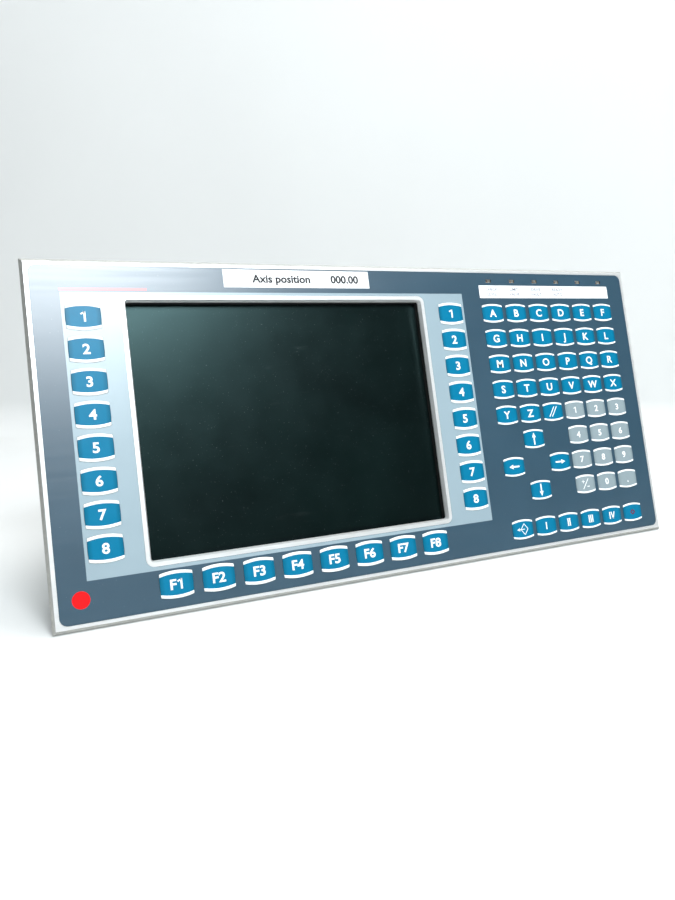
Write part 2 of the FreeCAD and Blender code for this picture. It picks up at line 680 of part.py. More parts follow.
def make_screen_stack(document, size, layout):
    """Seal, pane, display module and the sheet that clamps them to the plate."""
    seal = new_body(document, "screen_seal")
    slab(seal, size.screen_x, 0.0, size.screen_z, layout.glass_width, layout.glass_height,
         size.seal_depth)
    opening(seal, size.screen_x, 0.0, size.screen_z, layout.opening_width,
            layout.opening_height, size.seal_depth, size.window_corner)
    glass = new_body(document, "touch_screen")
    slab(glass, size.screen_x, size.seal_depth, size.screen_z, layout.glass_width,
         layout.glass_height, size.glass_thickness)
    display = new_body(document, "display_module")
    slab(display, size.screen_x, layout.display_front, size.screen_z, size.display_width,
         size.display_height, size.display_depth, size.window_corner)
    carrier = new_body(document, "screen_carrier")
    reach = size.pillar_radius + size.carrier_margin
    slab(carrier, size.screen_x, layout.carrier_front, size.screen_z,
         (layout.carrier_pillar_x + reach) * 2, size.display_height, size.carrier_thickness,
         size.carrier_margin)
    round_holes(carrier, size.screen_x - layout.carrier_pillar_x, layout.carrier_front,
                size.screen_z - size.carrier_pillar_pitch, size.screw_radius + size.screw_gap,
                size.carrier_thickness, (2, layout.carrier_pillar_x * 2),
                (3, size.carrier_pillar_pitch))
    return [seal, glass, display, carrier]


def board_holes(size, x, z, width, height):
    """First hole and the two pitches of a board's four corner holes."""
    inset = size.board_hole_inset
    across = (2, width - inset * 2)
    up = (2, height - inset * 2)
    return x - width / 2 + inset, z - height / 2 + inset, across, up


def make_board(document, size, label, x, y, z, width, height, blocks, components_in_front):
    """A bored circuit board with its larger components as blocks: (x, z, width, height, depth)
    measured from the board's middle."""
    body = new_body(document, label)
    slab(body, x, y, z, width, height, size.board_thickness)
    for block_x, block_z, block_width, block_height, depth in blocks:
        start = y - depth if components_in_front else y + size.board_thickness
        slab(body, x + block_x, start, z + block_z, fixed(block_width), fixed(block_height),
             fixed(depth))
    hole_x, hole_z, across, up = board_holes(size, x, z, width, height)
    round_holes(body, hole_x, y, hole_z, size.screw_radius + size.screw_gap,
                size.board_thickness, across, up)
    return body


def make_boards(document, size, layout):
    keypad = make_board(document, size, "keypad_board", layout.columns_middle_x,
                        size.keypad_board_gap, fixed(0), size.keypad_board_width,
                        size.keypad_board_height,
                        [(0.0, 4.6, 28.0, 6.0, 4.0), (-30.0, -40.0, 14.0, 14.0, 2.0),
                         (30.0, -40.0, 20.0, 8.0, 6.0)], False)
    main = make_board(document, size, "main_board", size.screen_x, layout.main_board_front,
                      size.main_board_z, size.main_board_width, size.main_board_height,
                      [(-30.0, 20.0, 42.0, 42.0, 14.0), (45.0, 35.0, 60.0, 26.0, 8.0),
                       (-78.0, 0.0, 14.0, 70.0, 9.0), (30.0, -15.0, 24.0, 24.0, 3.0)], False)
    power = make_board(document, size, "power_board", size.power_board_x,
                       layout.power_board_front, size.power_board_z, size.power_board_width,
                       size.power_board_height,
                       [(-22.0, 20.0, 36.0, 30.0, 20.0), (25.0, 25.0, 18.0, 18.0, 22.0),
                        (25.0, -8.0, 30.0, 12.0, 16.0), (-25.0, -20.0, 12.0, 12.0, 18.0)], True)
    return [keypad, main, power]


def make_threaded_pillars(document, size, layout):
    """Every pillar that a screw goes into: for the housing, the carrier and the boards."""
    body = new_body(document, "threaded_pillars")
    pillars(body, -layout.pillar_x, fixed(0), -layout.pillar_z, size, layout.back_wall,
            (2, layout.pillar_x * 2), (2, layout.pillar_z * 2))
    pillars(body, size.pillar_middle_x, fixed(0), -layout.pillar_z, size, layout.back_wall,
            (1, 0), (2, layout.pillar_z * 2))
    pillars(body, size.screen_x - layout.carrier_pillar_x, fixed(0),
            size.screen_z - size.carrier_pillar_pitch, size, layout.carrier_front,
            (2, layout.carrier_pillar_x * 2), (3, size.carrier_pillar_pitch))
    x, z, across, up = board_holes(size, layout.columns_middle_x, fixed(0),
                                   size.keypad_board_width, size.keypad_board_height)
    pillars(body, x, fixed(0), z, size, size.keypad_board_gap, across, up)
    x, z, across, up = board_holes(size, size.screen_x, size.main_board_z,
                                   size.main_board_width, size.main_board_height)
    pillars(body, x, layout.carrier_rear, z, size, size.standoff_length, across, up)
    x, z, across, up = board_holes(size, size.power_board_x, size.power_board_z,
                                   size.power_board_width, size.power_board_height)
    round_posts(body, x, layout.power_board_front + size.board_thickness, z,
                size.pillar_radius, size.standoff_length, across, up)
    return body


def screw_group(body, size, x, y, z, length, across, up, head_rearwards=True):
    """Pan-head screws seated at y: heads on one side, shanks on the other."""
    head_sketch = sketch_facing_operator(body, x, y, z)
    draw_circle(head_sketch, size.screw_head_radius)
    head = pad(body, head_sketch, size.screw_head_height, rearwards=head_rearwards)
    shank_sketch = sketch_facing_operator(body, x, y, z)
    draw_circle(shank_sketch, size.screw_radius)
    shank = pad(body, shank_sketch, length, rearwards=not head_rearwards)
    repeat(body, [head, shank], head_sketch, across, up)


def cover_screw_pitches(size):
    """First cover screw and the pitches of the three by two group, in the middle of the lap."""
    first_x = size.cover_x - size.cover_width / 2 + size.cover_lap / 2
    first_z = -(size.cover_height / 2) + size.cover_lap / 2
    across = (3, (size.cover_width - size.cover_lap) / 2)
    up = (2, size.cover_height - size.cover_lap)
    return first_x, first_z, across, up


def make_machine_screws(document, size, layout):
    body = new_body(document, "machine_screws")
    x, z, across, up = cover_screw_pitches(size)
    seat = size.housing_depth + size.sheet_thickness
    screw_group(body, size, x, seat, z, size.sheet_thickness * 2, across, up)
    screw_group(body, size, -layout.pillar_x, size.housing_depth, -layout.pillar_z,
                size.screw_length, (2, layout.pillar_x * 2), (2, layout.pillar_z * 2))
    screw_group(body, size, size.pillar_middle_x, size.housing_depth, -layout.pillar_z,
                size.screw_length, (1, 0), (2, layout.pillar_z * 2))
    screw_group(body, size, size.screen_x - layout.carrier_pillar_x, layout.carrier_rear,
                size.screen_z - size.carrier_pillar_pitch, size.screw_length,
                (2, layout.carrier_pillar_x * 2), (3, size.carrier_pillar_pitch))
    x, z, across, up = board_holes(size, layout.columns_middle_x, fixed(0),
                                   size.keypad_board_width, size.keypad_board_height)
    seat = size.keypad_board_gap + size.board_thickness
    screw_group(body, size, x, seat, z, size.screw_length / 2, across, up)
    x, z, across, up = board_holes(size, size.screen_x, size.main_board_z,
                                   size.main_board_width, size.main_board_height)
    screw_group(body, size, x, layout.main_board_front + size.board_thickness, z,
                size.screw_length, across, up)
    x, z, across, up = board_holes(size, size.power_board_x, size.power_board_z,
                                   size.power_board_width, size.power_board_height)
    screw_group(body, size, x, layout.power_board_front, z, size.board_thickness, across, up,
                head_rearwards=False)
    return body


def make_panel_seal(document, size):
    """A flat foam ring on the plate's rear face, round the cabinet's cut-out."""
    body = new_body(document, "panel_seal")
    gap = size.panel_seal_gap * 2
    band = size.panel_seal_width * 2
    slab(body, 0.0, 0.0, 0.0, size.housing_width + gap + band,
         size.housing_height + gap + band, size.panel_seal_thickness,
         size.housing_corner + size.panel_seal_gap + size.panel_seal_width)
    opening(body, 0.0, 0.0, 0.0, size.housing_width + gap, size.housing_height + gap,
            size.panel_seal_thickness, size.housing_corner + size.panel_seal_gap)
    return body


def make_mounting_studs(document, size):
    """Twelve studs in three rectangles, outside the panel seal."""
    body = new_body(document, "mounting_studs")
    x = size.plate_width / 2 - size.stud_edge_x
    z = size.plate_height / 2 - size.stud_edge_z
    inner = size.stud_inner_spacing / 2
    side = size.stud_side_spacing / 2
    for half_x, half_z in ((x, z), (inner, z), (x, side)):
        round_posts(body, -half_x, 0.0, -half_z, size.stud_radius, size.stud_length,
                    (2, half_x * 2), (2, half_z * 2))
    return body


def sockets(size, layout):
    """The sockets in the bottom wall: kind, x, and the y of the board side they stand on.
    Each one grows rearwards from that y, except the power terminal, which grows forwards."""
    rear = layout.main_board_front + size.board_thickness
    first = size.screen_x - size.socket_pitch
    power_y = layout.power_board_front - size.power_socket_height / 2
    return [
        ("network", first, rear + size.network_socket_height / 2),
        ("serial", first + size.socket_pitch, rear + size.serial_socket_height / 2),
        ("serial", first + size.socket_pitch * 2, rear + size.serial_socket_height / 2),
        ("power", size.power_board_x, power_y),
    ]


def socket_section(size, kind):
    return getattr(size, f"{kind}_socket_width"), getattr(size, f"{kind}_socket_height")


def make_rear_housing(document, size, layout):
    """A folded tub with a service opening, vents, and cut-outs for the sockets."""
    body = new_body(document, "rear_housing")
    wall = size.sheet_thickness
    slab(body, 0.0, 0.0, 0.0, size.housing_width, size.housing_height, size.housing_depth,
         size.housing_corner)
    opening(body, 0.0, 0.0, 0.0, size.housing_width - wall * 2, size.housing_height - wall * 2,
            layout.back_wall, size.housing_corner - wall)
    lap = size.cover_lap * 2
    opening(body, size.cover_x, layout.back_wall, 0.0, size.cover_width - lap,
            size.cover_height - lap, wall)
    hole = size.screw_radius + size.screw_gap
    for x, z, across, up in ((-layout.pillar_x, -layout.pillar_z, (2, layout.pillar_x * 2),
                              (2, layout.pillar_z * 2)),
                             (size.pillar_middle_x, -layout.pillar_z, (1, 0),
                              (2, layout.pillar_z * 2)),
                             cover_screw_pitches(size)):
        round_holes(body, x, layout.back_wall, z, hole, wall, across, up)
    for kind, x, y in sockets(size, layout):
        sketch = sketch_facing_up(body, x, y, -(size.housing_height / 2))
        width, height = socket_section(size, kind)
        draw_rectangle(sketch, width + size.socket_gap * 2, height + size.socket_gap * 2)
        cut(body, sketch, wall, along_normal=True)
    vent = sketch_facing_up(body, size.screen_x - VENT_PITCH * (VENT_COUNT - 1) / 2,
                            size.housing_depth / 2, size.housing_height / 2)
    draw_rectangle(vent, VENT_WIDTH, size.housing_depth / 2)
    slot = cut(body, vent, wall)
    repeat(body, [slot], vent, across=(VENT_COUNT, VENT_PITCH))
    return body


def make_rear_cover(document, size):
    body = new_body(document, "rear_cover")
    y = size.housing_depth
    slab(body, size.cover_x, y, 0.0, size.cover_width, size.cover_height, size.sheet_thickness,
         size.housing_corner)
    x, z, across, up = cover_screw_pitches(size)
    round_holes(body, x, y, z, size.screw_radius + size.screw_gap, size.sheet_thickness,
                across, up)
    first_x = size.cover_x - VENT_PITCH * (VENT_COUNT - 1) / 2
    vent, sketch = opening(body, first_x, y, -(size.cover_height / 4), VENT_WIDTH,
                           size.cover_height / 4, size.sheet_thickness)
    repeat(body, [vent], sketch, (VENT_COUNT, VENT_PITCH), (2, size.cover_height / 2))
    return body


def make_rear_connectors(document, size, layout):
    """A network socket, two serial sockets and a power terminal, all facing down."""
    body = new_body(document, "rear_connectors")
    for kind, x, y in sockets(size, layout):
        width, height = socket_section(size, kind)
        sketch = sketch_facing_up(body, x, y, layout.socket_z)
        draw_rectangle(sketch, width, height)
        pad(body, sketch, size.socket_depth)
        if kind == "network":
            cavity = sketch_facing_up(body, x, y, layout.socket_z)
            draw_rectangle(cavity, NETWORK_CAVITY_WIDTH, NETWORK_CAVITY_HEIGHT)
            cut(body, cavity, NETWORK_CAVITY_DEPTH, along_normal=True)
        if kind == "serial":
            nose = sketch_facing_up(body, x, y, layout.socket_z)
            draw_rounded_rectangle(nose, SERIAL_NOSE_WIDTH, SERIAL_NOSE_HEIGHT, 2.0)
            pad(body, nose, SERIAL_NOSE_LENGTH, rearwards=True)
        if kind == "power":
            hole_sketch = sketch_facing_up(body, x - POWER_PITCH, y, layout.socket_z)
            draw_circle(hole_sketch, POWER_HOLE_RADIUS)
            hole = cut(body, hole_sketch, size.socket_depth / 2, along_normal=True)
            repeat(body, [hole], hole_sketch, across=(3, POWER_PITCH))
    return body


# ---------------------------------------------------------------- the whole panel

def check_document(document, bodies):
    """Stops if any object failed or any piece is empty or broken."""
    document.recompute()
    for item in document.Objects:
        if "Invalid" in item.State or "Error" in item.State:
            raise RuntimeError(f"{item.Name} failed: {item.State}")
    for body in bodies:
        if body.Shape.isNull() or not body.Shape.isValid() or not body.Shape.Solids:
            raise RuntimeError(f"{body.Label} has no valid solid")


def build():
    document = FreeCAD.newDocument("operator_panel")
    size = SizeSheet(document)
    document.recompute()
    layout = Layout(size)
    bodies = [
        make_front_plate(document, size, layout),
        make_front_film(document, size, layout),
        make_key_spacer(document, size, layout),
        make_key_circuit(document, size, layout),
        make_snap_domes(document, size, layout),
        make_status_lamps(document, size, layout),
        make_panel_seal(document, size),
        make_mounting_studs(document, size),
        make_threaded_pillars(document, size, layout),
        make_machine_screws(document, size, layout),
        make_rear_housing(document, size, layout),
        make_rear_cover(document, size),
        make_rear_connectors(document, size, layout),
    ]
    bodies += make_labels(document, size, layout)
    bodies += make_screen_stack(document, size, layout)
    bodies += make_boards(document, size, layout)
    bodies += make_all_keys(document, size, layout)
    check_document(document, bodies)
    os.makedirs("parts", exist_ok=True)
    for body in bodies:
        body.Shape.exportStep(os.path.join("parts", f"{body.Label}.step"))
        print(body.Label, len(body.Shape.Solids), round(body.Shape.Volume, 1))
    print(len(bodies), "nodes")


build()
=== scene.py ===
"""Looks of the operator panel: printed film, key caps, screen, sheet metal and sockets.

Everything is in the panel's own frame, in metres: X to the operator's right, +Y into the
cabinet, Z up. MM turns millimetres into metres.
"""
import json
import math

import bpy
import numpy as np
from mathutils import Matrix, Vector


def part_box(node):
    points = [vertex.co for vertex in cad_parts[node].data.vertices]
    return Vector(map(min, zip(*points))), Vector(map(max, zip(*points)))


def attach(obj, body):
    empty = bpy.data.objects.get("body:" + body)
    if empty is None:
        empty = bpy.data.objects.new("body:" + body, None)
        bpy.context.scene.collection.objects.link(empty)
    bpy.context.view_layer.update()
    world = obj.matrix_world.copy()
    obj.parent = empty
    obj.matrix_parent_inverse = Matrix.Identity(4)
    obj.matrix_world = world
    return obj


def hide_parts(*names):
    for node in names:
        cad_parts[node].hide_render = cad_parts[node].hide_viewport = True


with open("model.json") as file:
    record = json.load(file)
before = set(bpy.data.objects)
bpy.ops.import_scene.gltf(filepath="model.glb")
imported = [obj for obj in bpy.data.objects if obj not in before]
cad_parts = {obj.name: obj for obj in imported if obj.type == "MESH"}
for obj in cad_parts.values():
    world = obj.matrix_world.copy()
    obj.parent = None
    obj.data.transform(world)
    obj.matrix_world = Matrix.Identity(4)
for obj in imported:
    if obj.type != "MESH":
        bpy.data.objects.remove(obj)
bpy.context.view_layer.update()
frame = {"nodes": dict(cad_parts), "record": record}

MM = 0.001
SLOT_OF = {part["node"]: part["material_slot"] for part in frame["record"]["subparts"]}


# ---------------------------------------------------------------- meshes

def sheet_faces(rows, columns, first=0, close_rows=False, close_columns=False):
    """Quads of a grid of points, row after row. A closed direction joins its last line to its
    first."""
    i = np.arange(rows if close_rows else rows - 1)[:, None]
    j = np.arange(columns if close_columns else columns - 1)[None, :]
    below, above = i * columns, (i + 1) % rows * columns
    left, right = j, (j + 1) % columns
    quads = np.stack([below + left, below + right, above + right, above + left], axis=-1)
    return quads.reshape(-1, 4) + first


def make_piece(name, points, faces, body, replaced, finishes, face_finish=None,
               attributes=None, sharp=40.0):
    """A mesh object at the origin, from points in metres and faces as lists of point numbers."""
    mesh = bpy.data.meshes.new(name)
    mesh.from_pydata(np.asarray(points, float).tolist(), [], [list(map(int, f)) for f in faces])
    for finish in finishes:
        mesh.materials.append(finish)
    if face_finish is not None:
        mesh.polygons.foreach_set("material_index", np.asarray(face_finish, np.int32))
    for label, values in (attributes or {}).items():
        layer = mesh.attributes.new(label, "FLOAT", "POINT")
        layer.data.foreach_set("value", np.asarray(values, np.float32))
    mesh.polygons.foreach_set("use_smooth", np.ones(len(mesh.polygons), bool))
    mesh.set_sharp_from_angle(angle=math.radians(sharp))
    mesh.validate()
    piece = bpy.data.objects.new(name, mesh)
    bpy.context.scene.collection.objects.link(piece)
    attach(piece, body)
    if replaced:
        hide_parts(*replaced)
    return piece


def joined(shapes):
    """Several (points, faces) as one."""
    points, faces, first = [], [], 0
    for shape_points, shape_faces in shapes:
        points.append(np.asarray(shape_points, float))
        faces += [[first + int(k) for k in face] for face in shape_faces]
        first += len(shape_points)
    return np.concatenate(points), faces


def prism(outline, near, far):
    """A convex outline in X and Z, drawn out along Y from near to far. The outline runs
    anticlockwise to someone who looks along +Y."""
    outline = np.asarray(outline, float)
    count = len(outline)
    front = np.column_stack([outline[:, 0], np.full(count, near), outline[:, 1]])
    back = np.column_stack([outline[:, 0], np.full(count, far), outline[:, 1]])
    k = np.arange(count)
    n = (k + 1) % count
    walls = np.stack([k, k + count, n + count, n], axis=-1).tolist()
    return np.concatenate([front, back]), [k.tolist(), (k[::-1] + count).tolist()] + walls


def stroke(start, end, width, near, far, end_width=None):
    """A straight bar of ink from start to end in X and Z. Its far end can have another width."""
    start, end = np.array(start, float), np.array(end, float)
    along = (end - start) / np.linalg.norm(end - start)
    side = np.array([-along[1], along[0]])
    last = width if end_width is None else end_width
    corners = [start - side * width / 2, end - side * last / 2, end + side * last / 2,
               start + side * width / 2]
    return prism(corners, near, far)


def disc(centre, radius, near, far, corners):
    turn = np.arange(corners) / corners * math.tau
    outline = np.column_stack([centre[0] + radius * np.cos(turn),
                               centre[1] + radius * np.sin(turn)])
    return prism(outline, near, far)


def turned(profile, columns, bump=None):
    """A lathe shape about the Y axis: profile is (radius, y) from one pole to the other, and both
    poles have radius 0. bump(radius, angle, y) gives the change of y. Poles are single points."""
    profile = np.asarray(profile, float)
    angle = np.arange(columns) / columns * math.tau
    radius = profile[1:-1, 0][:, None]
    y = np.repeat(profile[1:-1, 1][:, None], columns, axis=1)
    if bump is not None:
        y = y + bump(radius, angle[None, :], y)
    x = radius * np.cos(angle)
    z = radius * np.sin(angle)
    body = np.stack([x, y, z], axis=-1).reshape(-1, 3)
    first_y, last_y = profile[0, 1], profile[-1, 1]
    if bump is not None:
        first_y += float(bump(np.zeros((1, 1)), angle[None, :1], np.full((1, 1), first_y))[0, 0])
    points = np.concatenate([body, [[0, first_y, 0], [0, last_y, 0]]])
    rows = len(profile) - 2
    quads = sheet_faces(rows, columns, close_columns=True)
    k = np.arange(columns)
    n = (k + 1) % columns
    start = np.stack([n, k, np.full(columns, rows * columns)], axis=-1)
    last = (rows - 1) * columns
    finish = np.stack([last + k, last + n, np.full(columns, rows * columns + 1)], axis=-1)
    return points, quads.tolist() + start.tolist() + finish.tolist()


def turned_over(shape):
    """The same shape with its faces the other way round."""
    points, faces = shape
    return points, [list(face)[::-1] for face in faces]


def solids_of(node):
    """The separate solids of a CAD node, from left to right, each as its array of points.
    Corners at the same place count as one, and each solid takes the lowest corner number in it."""
    mesh = frame["nodes"][node].data
    points = np.empty(len(mesh.vertices) * 3, np.float32)
    mesh.vertices.foreach_get("co", points)
    points = points.reshape(-1, 3).astype(float)
    corners = np.empty(len(mesh.loops), np.int32)
    mesh.loops.foreach_get("vertex_index", corners)
    places, merged = np.unique(np.round(points * 1e6).astype(np.int64), axis=0,
                               return_inverse=True)
    triangles = merged.reshape(-1)[corners].reshape(-1, 3)
    label = np.arange(len(places))
    settled = False
    while not settled:
        lower = label.copy()
        np.minimum.at(lower, triangles.ravel(), np.repeat(label[triangles].min(axis=1), 3))
        lower = lower[lower]
        settled = bool((lower == label).all())
        label = lower
    places = places / 1e6
    solids = [places[label == number] for number in np.unique(label)]
    return sorted(solids, key=lambda solid: (round(solid[:, 0].min(), 4), solid[:, 2].min()))


# ---------------------------------------------------------------- finishes

class Finish:
    """A material with one Principled shader, and short calls for the nodes that drive it."""

    def __init__(self, name, roughness=0.5, metallic=0.0, specular=0.5, colour=(0.5, 0.5, 0.5)):
        self.material = bpy.data.materials.new(name)
        self.material.use_nodes = True
        self.tree = self.material.node_tree
        self.shader = self.tree.nodes["Principled BSDF"]
        self.shader.inputs["Roughness"].default_value = roughness
        self.shader.inputs["Metallic"].default_value = metallic
        self.shader.inputs["Specular IOR Level"].default_value = specular
        self.shader.inputs["Base Color"].default_value = (*colour, 1.0)
        self.material.diffuse_color = (*colour, 1.0)
        self.place = self.tree.nodes.new("ShaderNodeTexCoord").outputs["Object"]

    def put(self, socket, value):
        if isinstance(value, bpy.types.NodeSocket):
            self.tree.links.new(value, socket)
        elif isinstance(value, tuple) and len(value) == 3 and socket.type == "RGBA":
            socket.default_value = (*value, 1.0)
        else:
            socket.default_value = value

    def set(self, name, value):
        self.put(self.shader.inputs[name], value)

    def stretch(self, scale):
        node = self.tree.nodes.new("ShaderNodeMapping")
        node.inputs["Scale"].default_value = scale
        self.put(node.inputs["Vector"], self.place)
        return node.outputs["Vector"]

    def noise(self, scale, detail=3.0, place=None, roughness=0.55):
        node = self.tree.nodes.new("ShaderNodeTexNoise")
        node.inputs["Scale"].default_value = scale
        node.inputs["Detail"].default_value = detail
        node.inputs["Roughness"].default_value = roughness
        self.put(node.inputs["Vector"], place or self.place)
        return node.outputs["Fac"]

    def cells(self, scale, place=None, output="Color"):
        node = self.tree.nodes.new("ShaderNodeTexVoronoi")
        node.inputs["Scale"].default_value = scale
        self.put(node.inputs["Vector"], place or self.place)
        return node.outputs[output]

    def math(self, operation, a, b=0.0):
        node = self.tree.nodes.new("ShaderNodeMath")
        node.operation = operation
        self.put(node.inputs[0], a)
        self.put(node.inputs[1], b)
        return node.outputs[0]

    def band(self, value, low, high, start, end):
        """value from low..high drawn onto start..end, and held at both ends."""
        node = self.tree.nodes.new("ShaderNodeMapRange")
        for name, number in (("From Min", low), ("From Max", high), ("To Min", start),
                             ("To Max", end)):
            node.inputs[name].default_value = number
        self.put(node.inputs["Value"], value)
        return node.outputs["Result"]

    def mix(self, share, first, second):
        node = self.tree.nodes.new("ShaderNodeMix")
        node.data_type = "RGBA"
        self.put(node.inputs["Factor"], share)
        colour_a, colour_b, colour_out = node.inputs[6], node.inputs[7], node.outputs[2]
        self.put(colour_a, first)
        self.put(colour_b, second)
        return colour_out

    def bump(self, height, strength, distance):
        node = self.tree.nodes.new("ShaderNodeBump")
        node.inputs["Strength"].default_value = strength
        node.inputs["Distance"].default_value = distance
        self.put(node.inputs["Height"], height)
        self.set("Normal", node.outputs["Normal"])

    def axes(self):
        node = self.tree.nodes.new("ShaderNodeSeparateXYZ")
        self.put(node.inputs[0], self.place)
        return node.outputs[0], node.outputs[1], node.outputs[2]

    def attribute(self, name):
        node = self.tree.nodes.new("ShaderNodeAttribute")
        node.attribute_name = name
        return node.outputs["Fac"]

    def rectangle(self, x, z, edges):
        """1 inside a rectangle of the front, 0 outside. The edges are left, right, bottom, top."""
        left, right, bottom, top = edges
        beside = self.math("ABSOLUTE", self.math("SUBTRACT", x, (left + right) / 2))
        above = self.math("ABSOLUTE", self.math("SUBTRACT", z, (bottom + top) / 2))
        in_x = self.math("LESS_THAN", beside, (right - left) / 2)
        in_z = self.math("LESS_THAN", above, (top - bottom) / 2)
        return self.math("MULTIPLY", in_x, in_z)


def two_tone(finish, scale, first, second):
    """Base colour that drifts between two near tones."""
    share = finish.band(finish.noise(scale), 0.35, 0.65, 0.0, 1.0)
    finish.set("Base Color", finish.mix(share, first, second))


PALE_FIELD = np.array([-219.9, 71.6, -83.8, 91.1]) * MM
RED_STRIPE = np.array([-220.4, -167.6, 92.0, 93.7]) * MM
PICTURE = np.array([-179.7, 31.5, -75.35, 83.05]) * MM
RED_SPOT_PLACE = np.array([-224.1, -94.3]) * MM
RED_SPOT_RADIUS = 5.2 * MM
POWER_TERMINAL_LEFT = 130.0 * MM


def make_film_print():
    """Slate film with a paler field round the screen and a thin red stripe."""
    film = Finish("film_print", roughness=0.38, specular=1.0, colour=(0.05, 0.09, 0.13))
    x, _, z = film.axes()
    share = film.band(film.noise(18.0, 4.0), 0.35, 0.65, 0.0, 1.0)
    slate = film.mix(share, (0.020, 0.062, 0.098), (0.025, 0.071, 0.110))
    pale = film.mix(share, (0.290, 0.385, 0.435), (0.310, 0.41, 0.460))
    colour = film.mix(film.rectangle(x, z, PALE_FIELD), slate, pale)
    colour = film.mix(film.rectangle(x, z, RED_STRIPE), colour, (0.55, 0.02, 0.03))
    rubbed = film.noise(9.0, 6.0, film.stretch((1.0, 1.0, 26.0)))
    dust = film.band(film.noise(1300.0, 1.0), 0.76, 0.79, 0.0, 0.35)
    colour = film.mix(dust, colour, (0.55, 0.6, 0.62))
    film.set("Base Color", colour)
    film.set("Coat Weight", 0.6)
    film.set("Coat Roughness", 0.34)
    film.set("Roughness", film.band(rubbed, 0.3, 0.7, 0.32, 0.38))
    film.bump(film.noise(2600.0, 2.0), 0.05, 0.0001)
    return film.material


def make_key_face(name, middle, edge):
    """Printed key face with painted shade: the colour darkens to the edge colour towards both
    sides, where the cap falls away.
    """
    face = Finish(name, roughness=0.34, specular=0.25, colour=middle)
    # Painted side shade: the edge colour is mixed in over the outer 30 % of the width.
    share = face.band(face.attribute("across"), 0.70, 1.0, 0.0, 1.0)
    drift = face.band(face.noise(240.0, 3.0), 0.35, 0.65, 0.0, 0.10)
    worn = face.mix(drift, middle, tuple(min(1.0, c * 1.25 + 0.01) for c in middle))
    face.set("Base Color", face.mix(share, worn, edge))
    face.set("Roughness", face.band(face.noise(90.0, 3.0), 0.3, 0.7, 0.31, 0.37))
    face.bump(face.noise(3200.0, 2.0), 0.04, 0.0001)
    return face.material


def make_white_ink():
    ink = Finish("white_ink", roughness=0.4, specular=0.35, colour=(0.92, 0.94, 0.94))
    two_tone(ink, 500.0, (0.88, 0.90, 0.90), (0.95, 0.96, 0.96))
    ink.bump(ink.noise(3500.0, 2.0), 0.03, 0.0001)
    return ink.material


def make_ink(name, first, second):
    ink = Finish(name, roughness=0.45, specular=0.3, colour=first)
    two_tone(ink, 900.0, first, second)
    return ink.material


def make_plate_aluminium():
    """Satin aluminium with a fine grain along X, and painted shade on the chamfered edge all round:
    a darker, streaked grey.
    """
    plate = Finish("plate_aluminium", roughness=0.36, metallic=0.6, colour=(0.86, 0.87, 0.86))
    grain = plate.noise(60.0, 5.0, plate.stretch((0.6, 22.0, 22.0)))
    face = plate.mix(plate.band(grain, 0.3, 0.7, 0.0, 1.0), (0.90, 0.91, 0.90),
                     (0.95, 0.96, 0.95))
    low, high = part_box("front_plate")
    x, _, z = plate.axes()
    inset = 1.9 * MM
    satin = plate.rectangle(x, z, (low.x + inset, high.x - inset, low.z + inset, high.z - inset))
    # Painted shade: outside the inset, the chamfer is painted dark grey.
    cutter = plate.noise(40.0, 4.0, plate.stretch((8.0, 30.0, 8.0)))
    painted_shade_chamfer = plate.mix(plate.band(cutter, 0.3, 0.7, 0.0, 1.0), (0.40, 0.40, 0.38),
                       (0.52, 0.52, 0.49))
    plate.set("Base Color", plate.mix(satin, painted_shade_chamfer, face))
    plate.set("Roughness", plate.band(grain, 0.3, 0.7, 0.33, 0.42))
    plate.bump(grain, 0.08, 0.0002)
    return plate.material


def make_screen_glass():
    """Anti-glare pane over a dark display: a faint picture area, dust and light rubbing marks."""
    glass = Finish("screen_glass", roughness=0.3, specular=0.42, colour=(0.003, 0.010, 0.009))
    x, _, z = glass.axes()
    cloud = glass.band(glass.noise(14.0, 5.0), 0.35, 0.7, 0.0, 1.0)
    dark = glass.mix(cloud, (0.0001, 0.0012, 0.0010), (0.0003, 0.0032, 0.0027))
    colour = glass.mix(glass.rectangle(x, z, PICTURE), (0.0003, 0.0008, 0.0008), dark)
    dust = glass.band(glass.noise(1100.0, 1.0), 0.735, 0.78, 0.0, 0.22)
    colour = glass.mix(dust, colour, (0.25, 0.30, 0.30))
    streaks = glass.noise(120.0, 4.0, glass.stretch((0.35, 1.0, 1.4)))
    rub = glass.band(streaks, 0.66, 0.78, 0.0, 0.02)
    colour = glass.mix(rub, colour, (0.3, 0.36, 0.36))
    glass.set("Base Color", colour)
    glass.set("Specular Tint", (0.56, 0.97, 0.98))
    glass.set("Roughness", glass.band(glass.noise(34.0, 7.0, None, 0.65), 0.34, 0.66, 0.28, 0.33))
    glass.bump(glass.noise(3000.0, 2.0), 0.05, 0.0001)
    return glass.material


def make_galvanised(name, dark, light):
    """Galvanised sheet: flat grains that each have their own tone, and a fine rolled line."""
    sheet = Finish(name, roughness=0.42, metallic=1.0, colour=light)
    tone = sheet.tree.nodes.new("ShaderNodeSeparateColor")
    sheet.put(tone.inputs[0], sheet.cells(230.0, sheet.stretch((1.0, 1.0, 1.5))))
    share = sheet.band(tone.outputs[0], 0.0, 1.0, 0.0, 1.0)
    sheet.set("Base Color", sheet.mix(share, dark, light))
    sheet.set("Roughness", sheet.band(tone.outputs[1], 0.0, 1.0, 0.34, 0.52))
    sheet.bump(sheet.noise(700.0, 3.0), 0.05, 0.0002)
    return sheet.material


def make_steel(name, dark, light, roughness):
    steel = Finish(name, roughness=roughness, metallic=1.0, colour=light)
    two_tone(steel, 380.0, dark, light)
    steel.set("Roughness", steel.band(steel.noise(220.0, 4.0), 0.3, 0.7, roughness - 0.05,
                                      roughness + 0.1))
    steel.bump(steel.noise(1500.0, 3.0), 0.05, 0.0002)
    return steel.material


